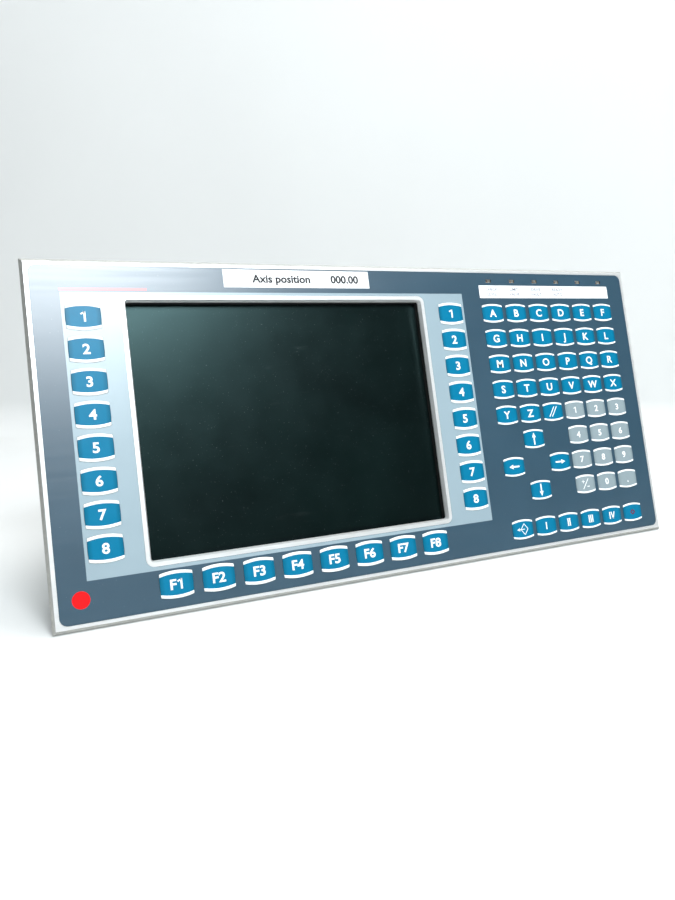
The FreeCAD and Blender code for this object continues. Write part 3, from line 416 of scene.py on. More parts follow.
def make_plastic(name, dark, light, roughness):
    plastic = Finish(name, roughness=roughness, specular=0.4, colour=light)
    two_tone(plastic, 120.0, dark, light)
    plastic.set("Roughness", plastic.band(plastic.noise(160.0, 3.0), 0.3, 0.7, roughness - 0.04,
                                          roughness + 0.08))
    plastic.bump(plastic.noise(1800.0), 0.1, 0.0002)
    return plastic.material


def make_socket_plastic():
    """Black socket bodies, and green at the power terminal on the right."""
    plastic = Finish("connector_plastic", roughness=0.45, specular=0.4, colour=(0.03, 0.03, 0.03))
    share = plastic.band(plastic.noise(300.0, 3.0), 0.35, 0.65, 0.0, 1.0)
    black = plastic.mix(share, (0.018, 0.018, 0.020), (0.035, 0.035, 0.038))
    green = plastic.mix(share, (0.020, 0.20, 0.07), (0.030, 0.27, 0.10))
    x, _, _ = plastic.axes()
    right = plastic.math("GREATER_THAN", x, POWER_TERMINAL_LEFT)
    plastic.set("Base Color", plastic.mix(right, black, green))
    plastic.set("Roughness", plastic.band(plastic.noise(160.0, 3.0), 0.3, 0.7, 0.42, 0.54))
    plastic.bump(plastic.noise(1800.0, 3.0), 0.1, 0.0002)
    return plastic.material


def make_foam():
    foam = Finish("seal_foam", roughness=0.9, specular=0.2, colour=(0.03, 0.03, 0.03))
    two_tone(foam, 900.0, (0.015, 0.015, 0.016), (0.045, 0.045, 0.046))
    foam.bump(foam.cells(1700.0, output="Distance"), 0.6, 0.0003)
    return foam.material


def make_board():
    """Green solder mask over a copper pattern, with bright rings at the holes' grid."""
    board = Finish("board_green", roughness=0.35, specular=0.5, colour=(0.02, 0.16, 0.07))
    flat = board.noise(150.0, 1.0, board.stretch((1.0, 1.0, 5.0)))
    steep = board.noise(150.0, 1.0, board.stretch((5.0, 1.0, 1.0)))
    both = board.math("MULTIPLY", board.band(flat, 0.48, 0.5, 0.0, 1.0),
                      board.band(steep, 0.50, 0.52, 0.0, 1.0))
    colour = board.mix(both, (0.010, 0.095, 0.040), (0.030, 0.19, 0.085))
    spots = board.band(board.cells(330.0, output="Distance"), 0.10, 0.12, 1.0, 0.0)
    board.set("Base Color", board.mix(spots, colour, (0.66, 0.64, 0.58)))
    board.bump(both, 0.25, 0.0001)
    return board.material


def make_lamp_resin():
    """Milky tan resin with a painted shadow: it darkens to brown towards the top of the lens, where
    the recess shades it.
    """
    resin = Finish("lamp_resin", roughness=0.25, specular=0.5, colour=(0.55, 0.42, 0.28))
    height = resin.attribute("height")
    drift = resin.noise(700.0, 2.0)
    share = resin.band(resin.math("ADD", height, resin.math("MULTIPLY", drift, 0.2)), 0.35, 0.85,
                       0.0, 1.0)
    # Painted shadow: tan below, dark brown at the top of the lens.
    resin.set("Base Color", resin.mix(share, (0.62, 0.50, 0.36), (0.12, 0.035, 0.025)))
    resin.set("Subsurface Weight", 0.15)
    resin.shader.inputs["Subsurface Radius"].default_value = (0.001, 0.0007, 0.0004)
    return resin.material


def make_label_stock():
    label = Finish("label_white", roughness=0.5, specular=0.35, colour=(0.92, 0.93, 0.93))
    two_tone(label, 45.0, (0.84, 0.86, 0.87), (0.93, 0.94, 0.94))
    label.bump(label.noise(1800.0, 3.0), 0.08, 0.0001)
    return label.material


FILM_PRINT = make_film_print()
# The second colour of each key face is its painted side shade.
TEAL_FACE = make_key_face("key_teal", (0.0003, 0.168, 0.305), (0.0003, 0.115, 0.20))
GREY_FACE = make_key_face("key_grey", (0.262, 0.325, 0.348), (0.205, 0.262, 0.284))
WHITE_INK = make_white_ink()
BLACK_INK = make_ink("black_ink", (0.006, 0.006, 0.008), (0.015, 0.015, 0.018))
GREY_INK = make_ink("grey_ink", (0.07, 0.07, 0.11), (0.12, 0.12, 0.18))
RED_INK = make_ink("red_ink", (0.13, 0.006, 0.028), (0.19, 0.010, 0.038))
RED_SPOT_INK = make_ink("red_spot_ink", (0.78, 0.0, 0.002), (0.86, 0.001, 0.004))
PLATE = make_plate_aluminium()
GLASS = make_screen_glass()
HOUSING = make_galvanised("housing_sheet", (0.50, 0.52, 0.53), (0.64, 0.66, 0.67))
CARRIER = make_galvanised("carrier_sheet", (0.46, 0.48, 0.49), (0.68, 0.70, 0.71))
ZINC = make_steel("zinc_steel", (0.56, 0.56, 0.52), (0.74, 0.74, 0.70), 0.28)
DOME_STEEL = make_steel("dome_steel", (0.66, 0.66, 0.65), (0.80, 0.80, 0.79), 0.22)
DISPLAY_STEEL = make_steel("display_shell", (0.60, 0.60, 0.61), (0.72, 0.72, 0.73), 0.35)
GOLD = make_steel("gold_contact", (0.75, 0.50, 0.18), (0.90, 0.65, 0.26), 0.25)
SPACER = make_plastic("spacer_foam", (0.06, 0.06, 0.065), (0.10, 0.10, 0.105), 0.7)
CIRCUIT = make_plastic("circuit_film", (0.40, 0.26, 0.09), (0.52, 0.36, 0.14), 0.35)
SEAL_RUBBER = make_plastic("seal_rubber", (0.006, 0.006, 0.006), (0.014, 0.014, 0.014), 0.75)
SOCKET_PLASTIC = make_socket_plastic()
BOARD = make_board()
LAMP_RESIN = make_lamp_resin()
LABEL = make_label_stock()
FOAM = make_foam()
FINISH_OF_SLOT = {
    "plate_aluminium": PLATE, "film_print": FILM_PRINT, "spacer_foam": SPACER,
    "circuit_film": CIRCUIT, "dome_steel": DOME_STEEL, "lamp_resin": LAMP_RESIN,
    "label_white": LABEL, "seal_foam": FOAM, "seal_rubber": SEAL_RUBBER, "zinc_steel": ZINC,
    "housing_sheet": HOUSING, "carrier_sheet": CARRIER, "connector_plastic": SOCKET_PLASTIC,
    "screen_glass": GLASS, "display_shell": DISPLAY_STEEL, "board_green": BOARD,
    "key_teal": TEAL_FACE, "key_grey": GREY_FACE,
}


def dress_cad_nodes():
    """Every CAD node gets the finish of its slot."""
    for node, thing in frame["nodes"].items():
        thing.data.materials.clear()
        thing.data.materials.append(FINISH_OF_SLOT[SLOT_OF[node]])


# ---------------------------------------------------------------- key caps

RIDGE_RISE = 0.18 * MM
SIDE_BULGE = 0.35 * MM
END_BOW = 1.35 * MM
EDGE_ROUND = 0.22 * MM
SIDE_FALL = 0.10 * MM
RIM_HEIGHT = 0.05 * MM
DOME_ROOM = 0.02 * MM
SOFT = {"ridge": 1.9 * MM, "legend": 6.4 * MM, "bold": 0.026}
SMALL = {"ridge": 1.4 * MM, "legend": 5.9 * MM, "bold": 0.022}
NUMBER = {"ridge": 1.4 * MM, "legend": 5.0 * MM, "bold": 0.024}
FIGURE_ONE_WEIGHT = 0.19
LEGEND_THICKNESS = 0.07 * MM
NEAR, FAR = -LEGEND_THICKNESS / 2, LEGEND_THICKNESS / 2
LABEL_WORDS_PROUD = 0.005 * MM


def key_cap(solid, ridge):
    """One closed key cap, its back a hair short of the dome that it presses. u runs from side to
    side and v from the lower arc to the upper one: x = u * (w + bulge * (1 - v^2)),
    z = v * (h + bow * (1 - u^2)). The rows near each arc keep their distance s from it. Height
    over the face is ridge_rise * (1 - ((s - c) / c)^4) inside the arc of half width c, less a
    quarter round at every edge, less a slow fall to both sides."""
    low, high = solid.min(axis=0), solid.max(axis=0)
    centre = (low + high) / 2
    w = (high[0] - low[0]) / 2 - SIDE_BULGE
    h = (high[2] - low[2]) / 2 - END_BOW
    front, rear = low[1], high[1] - DOME_ROOM
    edge = np.array([0.0, 0.03, 0.09, 0.16, 0.22, 0.45]) * MM
    u = np.concatenate([-1 + edge / w, np.linspace(-0.9, 0.9, 13), 1 - edge[::-1] / w])
    near_arc = np.concatenate([edge[:5], np.linspace(0.25, 0.75, 3) * ridge,
                               ridge - edge[4:0:-1] * 0.8, [ridge, ridge + 0.06 * MM]])
    half = h + END_BOW * (1 - u ** 2)
    lower = -1 + near_arc[:, None] / half[None, :]
    upper = 1 - near_arc[::-1, None] / half[None, :]
    blend = np.linspace(0, 1, 7)[1:-1, None]
    face = lower[-1] + (upper[0] - lower[-1]) * blend
    v = np.concatenate([lower, face, upper])
    x = u[None, :] * (w + SIDE_BULGE * (1 - v ** 2))
    z = v * half[None, :]
    s = (1 - np.abs(v)) * half[None, :]
    e = (1 - np.abs(u))[None, :] * w + 0 * v
    c = ridge / 2
    rise = np.where(s <= ridge, RIDGE_RISE * (1 - np.abs((s - c) / c) ** 4), 0.0)
    rise = rise * np.clip(e / (0.5 * MM), 0.0, 1.0) ** 0.5

    def drop(d):
        inside = np.clip(EDGE_ROUND - d, 0.0, EDGE_ROUND)
        return EDGE_ROUND - np.sqrt(EDGE_ROUND ** 2 - inside ** 2)

    y = front + RIDGE_RISE - rise + drop(s) + drop(e) + SIDE_FALL * np.abs(u[None, :]) ** 4
    y = np.minimum(y, rear - RIM_HEIGHT)
    rows, columns = v.shape
    top = np.stack([x + centre[0], y, z + centre[2]], axis=-1).reshape(-1, 3)
    bottom = top.copy()
    bottom[:, 1] = rear
    count = rows * columns
    front_faces = sheet_faces(rows, columns)
    rear_faces = front_faces[:, ::-1] + count
    grid = np.arange(count).reshape(rows, columns)
    loop = np.concatenate([grid[0, :-1], grid[:-1, -1], grid[-1, :0:-1], grid[:0:-1, 0]])
    following = np.roll(loop, -1)
    wall = np.stack([following, loop, loop + count, following + count], axis=-1)
    arc_rows = np.zeros(rows - 1, int)
    bands = len(near_arc) - 2
    arc_rows[:bands] = 1
    arc_rows[-bands:] = 1
    front_finish = np.repeat(arc_rows, columns - 1)
    on_arc = np.zeros(len(loop), int)
    on_arc[:columns - 1] = 1
    on_arc[columns - 1 + rows - 1:2 * (columns - 1) + rows - 1] = 1
    finish = np.concatenate([front_finish, np.zeros(len(rear_faces), int), on_arc])
    across = np.tile(np.abs(np.tile(u, rows)), 2)
    points = np.concatenate([top, bottom])
    return points, np.concatenate([front_faces, rear_faces, wall]), finish, across


def lettering(text, height, bold):
    """Flat solid letters about the origin, in X and Z, facing -Y, as (points, faces). The height
    is that of a capital."""
    def outline(words, thickness):
        curve = bpy.data.curves.new("letters", "FONT")
        curve.body = words
        curve.align_x = "CENTER"
        curve.resolution_u = 4
        curve.offset = bold
        curve.extrude = thickness
        thing = bpy.data.objects.new("letters", curve)
        bpy.context.scene.collection.objects.link(thing)
        bpy.context.view_layer.update()
        mesh = bpy.data.meshes.new_from_object(thing.evaluated_get(
            bpy.context.evaluated_depsgraph_get()))
        points = np.empty(len(mesh.vertices) * 3)
        mesh.vertices.foreach_get("co", points)
        faces = [list(face.vertices) for face in mesh.polygons]
        bpy.data.objects.remove(thing)
        bpy.data.curves.remove(curve)
        bpy.data.meshes.remove(mesh)
        return points.reshape(-1, 3), faces

    capital, _ = outline("H", 0.0)
    scale = height / (capital[:, 1].max() - capital[:, 1].min())
    points, faces = outline(text, 1.0)
    middle_x = (points[:, 0].max() + points[:, 0].min()) / 2
    middle_z = (capital[:, 1].max() + capital[:, 1].min()) / 2
    half, wider = LEGEND_THICKNESS / 2, 1.06
    flat = np.column_stack([(points[:, 0] - middle_x) * scale * wider, -points[:, 2] * half,
                            (points[:, 1] - middle_z) * scale])
    return flat, faces


def arrow(direction):
    """A shaft with a small triangular head, about the origin."""
    length, head = 9.6 * MM, 3.8 * MM
    along = np.array({"up": (0, 1), "down": (0, -1), "left": (-1, 0), "right": (1, 0)}[direction],
                     float)
    start, tip = -along * length / 2, along * length / 2
    neck = tip - along * head
    return joined([stroke(start, neck + along * 0.2 * MM, 1.2 * MM, NEAR, FAR),
                   stroke(neck, tip, head * 0.95, NEAR, FAR, 0.05 * MM)])


def numeral_bars(count):
    """Upright bars joined by a thin line above and below them, and by nothing if there is one."""
    gap, tall = 1.8 * MM, 5.6 * MM
    places = (np.arange(count) - (count - 1) / 2) * gap
    bars = [stroke((x, -tall / 2), (x, tall / 2), 1.05 * MM, NEAR, FAR) for x in places]
    if count > 1:
        reach = places[-1] + 0.8 * MM
        bars += [stroke((-reach, side * tall / 2), (reach, side * tall / 2), 0.35 * MM, NEAR, FAR)
                 for side in (-1, 1)]
    return joined(bars)


def numeral_four():
    tall = 5.6 * MM
    bar = stroke((-2.3 * MM, -tall / 2), (-2.3 * MM, tall / 2), 1.05 * MM, NEAR, FAR)
    left = stroke((-0.8 * MM, tall / 2), (0.85 * MM, -tall / 2), 0.95 * MM, NEAR, FAR)
    right = stroke((0.85 * MM, -tall / 2), (2.5 * MM, tall / 2), 0.9 * MM, NEAR, FAR)
    return joined([bar, left, right])


def figure_one(height):
    """A one with a short flag: an upright bar and a sloping stroke at its top left."""
    weight = FIGURE_ONE_WEIGHT * height
    stem = stroke((0.12 * height, -height / 2), (0.12 * height, height / 2), weight, NEAR, FAR)
    flag = stroke((-0.24 * height, 0.24 * height), (0.14 * height, 0.45 * height), weight * 0.8,
                  NEAR, FAR)
    return joined([stem, flag])


def slashes():
    lean, tall = 2.7 * MM, 8.0 * MM
    return joined([stroke((x - lean, -tall / 2), (x + lean, tall / 2), 0.7 * MM, NEAR, FAR)
                   for x in (-1.3 * MM, 1.3 * MM)])


def plus_and_minus():
    slash = stroke((-3.0 * MM, -4.0 * MM), (3.0 * MM, 4.0 * MM), 0.6 * MM, NEAR, FAR)
    plus_x, plus_z, arm = -2.4 * MM, 2.0 * MM, 1.45 * MM
    across = stroke((plus_x - arm, plus_z), (plus_x + arm, plus_z), 0.6 * MM, NEAR, FAR)
    up = stroke((plus_x, plus_z - arm), (plus_x, plus_z + arm), 0.6 * MM, NEAR, FAR)
    minus = stroke((1.2 * MM, -2.2 * MM), (3.7 * MM, -2.2 * MM), 0.6 * MM, NEAR, FAR)
    return joined([slash, across, up, minus])


def small_diamond():
    corners = np.array([(0, 1.8), (2.2, 0), (0, -1.8), (-2.2, 0)]) * MM
    return joined([stroke(corners[k], corners[(k + 1) % 4], 0.9 * MM, NEAR, FAR)
                   for k in range(4)])


def diamond_with_arrow():
    """A standing diamond drawn as four strokes, and a small arrow that leaves it to the left."""
    corners = np.array([(0, 4.2), (3.3, 0), (0, -4.2), (-3.3, 0)]) * MM + np.array([1.3, 0]) * MM
    sides = [stroke(corners[k], corners[(k + 1) % 4], 0.5 * MM, NEAR, FAR) for k in range(4)]
    shaft = stroke((1.6 * MM, 0), (-3.4 * MM, 0), 0.6 * MM, NEAR, FAR)
    head = stroke((-3.0 * MM, 0), (-5.6 * MM, 0), 2.5 * MM, NEAR, FAR, 0.05 * MM)
    return joined(sides + [shaft, head])


def legends_of(node):
    """(shape, ink) for each key of a node, from left to right."""
    def letters(words, style):
        height = style["legend"]
        return [(figure_one(height) if word == "1" else lettering(word, height, style["bold"]),
                 WHITE_INK) for word in words]

    if "softkey" in node:
        return letters([node[-1]], SOFT)
    if node == "function_key_1":
        letter, faces = lettering("F", SOFT["legend"], SOFT["bold"])
        figure, figure_faces = figure_one(SOFT["legend"])
        aside = np.array([2.1 * MM, 0.0, 0.0])
        return [(joined([(letter - aside, faces), (figure + aside, figure_faces)]), WHITE_INK)]
    if node.startswith("function_key"):
        return letters(["F" + node[-1]], SOFT)
    if node.startswith("arrow_key"):
        return [(arrow(node.rsplit("_", 1)[1]), WHITE_INK)]
    rows = {"letter_keys_a_to_f": "ABCDEF", "letter_keys_g_to_l": "GHIJKL",
            "letter_keys_m_to_r": "MNOPQR", "letter_keys_s_to_x": "STUVWX"}
    if node in rows:
        return letters(rows[node], SMALL)
    numbers = {"number_keys_1_to_3": "123", "number_keys_4_to_6": "456",
               "number_keys_7_to_9": "789"}
    if node in numbers:
        return letters(numbers[node], NUMBER)
    if node == "letter_keys_y_to_slash":
        return letters("YZ", SMALL) + [(slashes(), WHITE_INK)]
    if node == "number_keys_zero_row":
        point = disc((0.0, -2.4 * MM), 0.65 * MM, NEAR, FAR, 16)
        return [(plus_and_minus(), WHITE_INK)] + letters("0", NUMBER) + [(point, WHITE_INK)]
    return [(diamond_with_arrow(), WHITE_INK), (numeral_bars(1), WHITE_INK),
            (numeral_bars(2), WHITE_INK), (numeral_bars(3), WHITE_INK),
            (numeral_four(), WHITE_INK), (small_diamond(), RED_INK)]


def make_key_caps():
    """A cap and a legend for each of the 73 keys. The keys of one CAD node are one piece."""
    for node in sorted(frame["nodes"]):
        slot = SLOT_OF[node]
        if slot not in ("key_teal", "key_grey"):
            continue
        ridge = (SOFT if "softkey" in node or "function" in node else SMALL)["ridge"]
        solids = solids_of(node)
        points, faces, finishes, across, first = [], [], [], [], 0
        legends = {}
        for solid, (shape, ink) in zip(solids, legends_of(node)):
            cap_points, cap_faces, cap_finish, cap_across = key_cap(solid, ridge)
            points.append(cap_points)
            faces.append(cap_faces + first)
            finishes.append(cap_finish)
            across.append(cap_across)
            first += len(cap_points)
            centre = (solid.min(axis=0) + solid.max(axis=0)) / 2
            face = solid[:, 1].min() + RIDGE_RISE
            shift = np.array([centre[0], face - 0.01 * MM, centre[2]])
            legends.setdefault(ink.name, [ink, []])[1].append((shape[0] + shift, shape[1]))
        # The across attribute drives the painted side shade of the key faces.
        make_piece(node + "_caps", np.concatenate(points), np.concatenate(faces), node, [node],
                   [FINISH_OF_SLOT[slot], WHITE_INK], np.concatenate(finishes),
                   {"across": np.concatenate(across)}, 50.0)
        for ink, shapes in legends.values():
            word_points, word_faces = joined(shapes)
            make_piece(f"{node}_{ink.name}", word_points, word_faces, node, [],
                       [ink])


# ---------------------------------------------------------------- lamps and labels

def lamp_lens(solid):
    """A softened block: x = a*p(cos)*p(cos), z = b*p(sin)*p(cos), y = -c*p(sin), where p keeps the
    sign and takes the power 0.55, so that the lens is between a box and an egg."""
    low, high = solid.min(axis=0), solid.max(axis=0)
    centre, half = (low + high) / 2, (high - low) / 2
    rows, columns = 11, 28
    lift = np.linspace(-math.pi / 2, math.pi / 2, rows + 2)[1:-1, None]
    turn = np.arange(columns)[None, :] / columns * math.tau

    def softened(value):
        return np.sign(value) * np.abs(value) ** 0.55

    x = half[0] * softened(np.cos(lift)) * softened(np.cos(turn))
    z = half[2] * softened(np.cos(lift)) * softened(np.sin(turn))
    y = -half[1] * softened(np.sin(lift)) + 0 * turn
    ring = np.stack([x, y, z], axis=-1).reshape(-1, 3)
    points = np.concatenate([ring, [[0, half[1], 0], [0, -half[1], 0]]]) + centre
    k = np.arange(columns)
    n = (k + 1) % columns
    last = (rows - 1) * columns
    faces = sheet_faces(rows, columns, close_columns=True).tolist()
    faces += np.stack([n, k, np.full(columns, rows * columns)], axis=-1).tolist()
    faces += np.stack([last + k, last + n, np.full(columns, rows * columns + 1)], axis=-1).tolist()
    # Height up the lens, which places the painted shadow at its top.
    height = (points[:, 2] - low[2]) / (high[2] - low[2])
    return points, faces, height


def make_lamps():
    points, faces, heights, first = [], [], [], 0
    for solid in solids_of("status_lamps"):
        lens, lens_faces, height = lamp_lens(solid)
        points.append(lens)
        faces += [[first + int(k) for k in face] for face in lens_faces]
        heights.append(height)
        first += len(lens)
    make_piece("status_lamp_lenses", np.concatenate(points), faces, "panel", ["status_lamps"],
               [LAMP_RESIN], None, {"height": np.concatenate(heights)})


def make_red_spot():
    """A plain round spot of red ink near the film's lower left corner."""
    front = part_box("front_film")[0].y
    points, faces = disc(RED_SPOT_PLACE, RED_SPOT_RADIUS, front - 0.04 * MM,
                         front + 0.02 * MM, 64)
    make_piece("red_spot", points, faces, "panel", [], [RED_SPOT_INK])


def make_label_words():
    """Plain generic words on the two labels."""
    low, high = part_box("position_label")
    middle = (low + high) / 2
    words = [("Axis position", 5.6 * MM, -13.0 * MM), ("000.00", 5.6 * MM, 35.0 * MM)]
    shapes = []
    for word, height, shift in words:
        points, faces = lettering(word, height, 0.030)
        place = np.array([middle.x + shift, low.y - LABEL_WORDS_PROUD, middle.z])
        shapes.append((points * (1, 0.5, 1) + place, faces))
    points, faces = joined(shapes)
    make_piece("position_label_words", points, faces, "panel", [], [BLACK_INK])
    low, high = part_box("lamp_label_strip")
    shapes = []
    for column, pair in enumerate((("CHECK", "LEVEL"), ("LIMIT", "VALVE"), ("DRIVE", "FAULT"),
                                   ("READY", "AUTO"))):
        for row, word in enumerate(pair):
            points, faces = lettering(word, 2.3 * MM, 0.006)
            place = np.array([low.x + (12.0 + 22.0 * column) * MM, low.y - LABEL_WORDS_PROUD,
                              high.z - (3.1 + 4.0 * row) * MM])
            shapes.append((points * (1, 0.5, 1) + place, faces))
    points, faces = joined(shapes)
    make_piece("lamp_label_words", points, faces, "panel", [], [GREY_INK])


# ---------------------------------------------------------------- fasteners and sockets

def threaded_stud(solid):
    """A stud along Y: radius = r - depth * |2 * frac(y / pitch - turn / full turn) - 1|, with the
    thread fading out over the last pitch at the plate, and a bevel at the tip."""
    pitch, depth = 0.7 * MM, 0.22 * MM
    low, high = solid.min(axis=0), solid.max(axis=0)
    centre = (low + high) / 2
    r = (high[0] - low[0]) / 2
    length = high[1] - low[1]
    columns = 20
    rows = int(length / pitch * 6)
    y = np.linspace(0.0, length, rows)[:, None]
    turn = np.arange(columns)[None, :] / columns
    wave = np.abs(2 * np.mod(y / pitch - turn, 1.0) - 1)
    fade = np.clip((y - 0.2 * MM) / pitch, 0, 1)
    radius = r - depth * wave * fade
    radius = np.minimum(radius, r - np.clip(y - (length - 0.5 * MM), 0, None))
    x = radius * np.cos(turn * math.tau)
    z = radius * np.sin(turn * math.tau)
    points = np.stack([x, y + 0 * turn, z], axis=-1).reshape(-1, 3)
    count = rows * columns
    ends = [[0, 0, 0], [0, length, 0]]
    points = np.concatenate([points, ends]) + np.array([centre[0], low[1], centre[2]])
    k = np.arange(columns)
    n = (k + 1) % columns
    faces = sheet_faces(rows, columns, close_columns=True)[:, ::-1].tolist()
    faces += np.stack([k, n, np.full(columns, count)], axis=-1).tolist()
    last = (rows - 1) * columns
    faces += np.stack([last + n, last + k, np.full(columns, count + 1)], axis=-1).tolist()
    return points, faces


def pan_head_screw(solid):
    """A lathe shape: domed head, under-head, thread ridges, flat tip. The recess is a cross: depth
    where the point lies within 0.42 mm of either line and 1.5 mm of the middle."""
    low, high = solid.min(axis=0), solid.max(axis=0)
    centre = (low + high) / 2
    near_top = solid[solid[:, 1] > high[1] - 0.01 * MM]
    head_at_high = np.ptp(near_top[:, 0]) > 4 * MM
    length = high[1] - low[1]
    head, crown = 1.9 * MM, 0.62 * MM
    r, core = 2.65 * MM, 1.18 * MM
    arc = np.array([0.0, 0.2, 0.4, 0.42, 0.55, 0.57, 0.75, 0.9, 0.97, 1.0])
    dome = [(r * t, crown * (1 - math.sqrt(1 - (0.98 * t) ** 2))) for t in arc]
    steps = max(4, int((length - head) / (0.5 * MM)) * 2)
    ridge = np.linspace(head + 0.1 * MM, length - 0.15 * MM, steps)
    shank = [(core if k % 2 else core - 0.16 * MM, y) for k, y in enumerate(ridge)]
    profile = dome + [(r, head - 0.15 * MM), (r - 0.1 * MM, head), (core, head)] + shank
    profile += [(core - 0.25 * MM, length), (0.0, length)]

    def recess(radius, angle, y):
        x, z = radius * np.cos(angle), radius * np.sin(angle)
        cross = (np.minimum(np.abs(x), np.abs(z)) < 0.42 * MM) & (radius < 1.49 * MM) & (y < MM)
        return np.where(cross, 0.85 * MM, 0.0)

    points, faces = turned(profile, 24, recess)
    if head_at_high:
        points = points * (1, -1, 1) + np.array([centre[0], high[1], centre[2]])
        faces = turned_over((points, faces))[1]
    else:
        points = points + np.array([centre[0], low[1], centre[2]])
    return points, faces


def make_fasteners():
    points, faces = joined([threaded_stud(solid) for solid in solids_of("mounting_studs")])
    make_piece("threaded_studs", points, faces, "panel", ["mounting_studs"], [ZINC])
    points, faces = joined([pan_head_screw(solid) for solid in solids_of("machine_screws")])
    make_piece("pan_head_screws", points, faces, "panel", ["machine_screws"], [ZINC])


def turned_down(shape):
    """A shape made along Y, laid along Z instead: Y and Z change places and the faces turn over."""
    points, faces = turned_over(shape)
    return np.asarray(points, float)[:, [0, 2, 1]], faces


def rounded_path(width, depth, radius, corner_points=7):
    """Points round a rectangle with round corners, anticlockwise in X and Y about the origin."""
    turn = np.linspace(0, math.pi / 2, corner_points)
    corners = []
    for quarter, (sx, sy) in enumerate(((1, 1), (-1, 1), (-1, -1), (1, -1))):
        angle = turn + quarter * math.pi / 2
        corners.append(np.column_stack([sx * (width / 2 - radius) + radius * np.cos(angle),
                                        sy * (depth / 2 - radius) + radius * np.sin(angle)]))
    return np.concatenate(corners)


def metal_shell(centre, top, bottom, width, depth, radius, wall):
    """A thin sleeve round a plug: the wall's section, a small rectangle with its lower corners
    eased, is carried along the rounded path. One grid, closed both ways."""
    outside = rounded_path(width, depth, radius)
    inside = rounded_path(width - wall * 2, depth - wall * 2, radius - wall)
    middle = (outside + inside) / 2
    rings = [(outside, top), (outside, bottom + wall / 2), (middle, bottom),
             (inside, bottom + wall / 2), (inside, top)]
    points = np.concatenate([np.column_stack([ring + centre, np.full(len(ring), z)])
                             for ring, z in rings])
    faces = sheet_faces(len(rings), len(outside), close_rows=True, close_columns=True)
    return points, faces[:, ::-1]


def hexagon_post(centre, top, bottom):
    """A jack screw: a six-sided post with a bevelled end and a blind threaded hole.
    Rings of 24 points: the outer ones lie on the hexagon, the inner ones on circles."""
    across_flats, hole = 4.6 * MM, 1.3 * MM
    turn = np.arange(24) / 24 * math.tau
    from_flat = np.mod(turn + math.pi / 6, math.pi / 3) - math.pi / 6
    six = across_flats / 2 / np.cos(from_flat)
    round_out = np.full(24, across_flats / 2)
    bore = np.full(24, hole)
    rings = [(six, top), (six, bottom + 0.5 * MM), (round_out, bottom), (bore + 0.2 * MM, bottom),
             (bore, bottom + 0.2 * MM), (bore, bottom + 3 * MM)]
    points = np.concatenate([np.column_stack([centre[0] + r * np.cos(turn),
                                              centre[1] + r * np.sin(turn), np.full(24, z)])
                             for r, z in rings])
    faces = sheet_faces(len(rings), 24, close_columns=True)[:, ::-1].tolist()
    faces.append(list(range(24)))
    faces.append(list(range(5 * 24, 6 * 24))[::-1])
    return points, faces


def round_contact(place, top, bottom, radius):
    """A contact pin along Z with a rounded end."""
    reach = top - bottom
    arc = np.linspace(0, math.pi / 2, 5)
    profile = [(0.0, 0.0)] + [(radius * math.sin(a), radius * (1 - math.cos(a))) for a in arc[1:]]
    profile += [(radius, reach), (0.0, reach)]
    points, faces = turned_down(turned(profile, 10))
    return points + np.array([place[0], place[1], bottom]), faces


def make_socket_details():
    """Metal shells, jack screws and contacts on the sockets in the bottom wall."""
    network, serial_one, serial_two, _ = solids_of("rear_connectors")
    shells, posts, contacts = [], [], []
    for solid in (serial_one, serial_two):
        low, high = solid.min(axis=0), solid.max(axis=0)
        centre = ((low + high) / 2)[:2]
        nose, seat = low[2], low[2] + 5 * MM
        shells.append(metal_shell(centre, seat, nose - 0.2 * MM, 18.0 * MM, 9.2 * MM, 2.4 * MM,
                                  0.4 * MM))
        shells.append(metal_shell(centre, seat + 0.4 * MM, seat - 0.7 * MM, 30.6 * MM, 12.3 * MM,
                                  1.6 * MM, 5.6 * MM))
        for side in (-12.5 * MM, 12.5 * MM):
            posts.append(hexagon_post(centre + np.array([side, 0.0]), seat, seat - 4.6 * MM))
        for row, count in ((1.42 * MM, 5), (-1.42 * MM, 4)):
            for k in range(count):
                place = centre + np.array([(k - (count - 1) / 2) * 2.77 * MM, row])
                contacts.append(round_contact(place, nose + 0.5 * MM, nose - 0.25 * MM,
                                              0.55 * MM))
    low, high = network.min(axis=0), network.max(axis=0)
    middle = (low + high) / 2
    for k in range(8):
        x = middle[0] + (k - 3.5) * 1.27 * MM
        contacts.append(stroke((x, low[2] + 1.5 * MM), (x, low[2] + 11.0 * MM), 0.5 * MM,
                               middle[1] + 3.6 * MM, middle[1] + 3.9 * MM))
    shells.append(metal_shell(middle[:2], low[2] + 9 * MM, low[2] - 0.2 * MM, 15.9 * MM,
                              13.4 * MM, 0.6 * MM, 0.25 * MM))
    for name, shapes, finish in (("socket_shells", shells, ZINC), ("jack_screws", posts, ZINC),
                                 ("socket_contacts", contacts, GOLD)):
        points, faces = joined(shapes)
        make_piece(name, points, faces, "panel", [], [finish])


# ---------------------------------------------------------------- stage, light, camera

EYE = Vector((-257.6, -463.0, -52.8)) * MM
LOOK_RIGHT = Vector((0.907, -0.404, -0.121)).normalized()
LOOK_UP = Vector((0.080, -0.117, 0.990))
FLOOR_NORMAL = Vector((0.0, -0.286, 0.958)).normalized()
FLOOR_HEIGHT = -107.35 * MM
LENS_LENGTH = 29.21
FRAMING_SHIFT = -0.00778


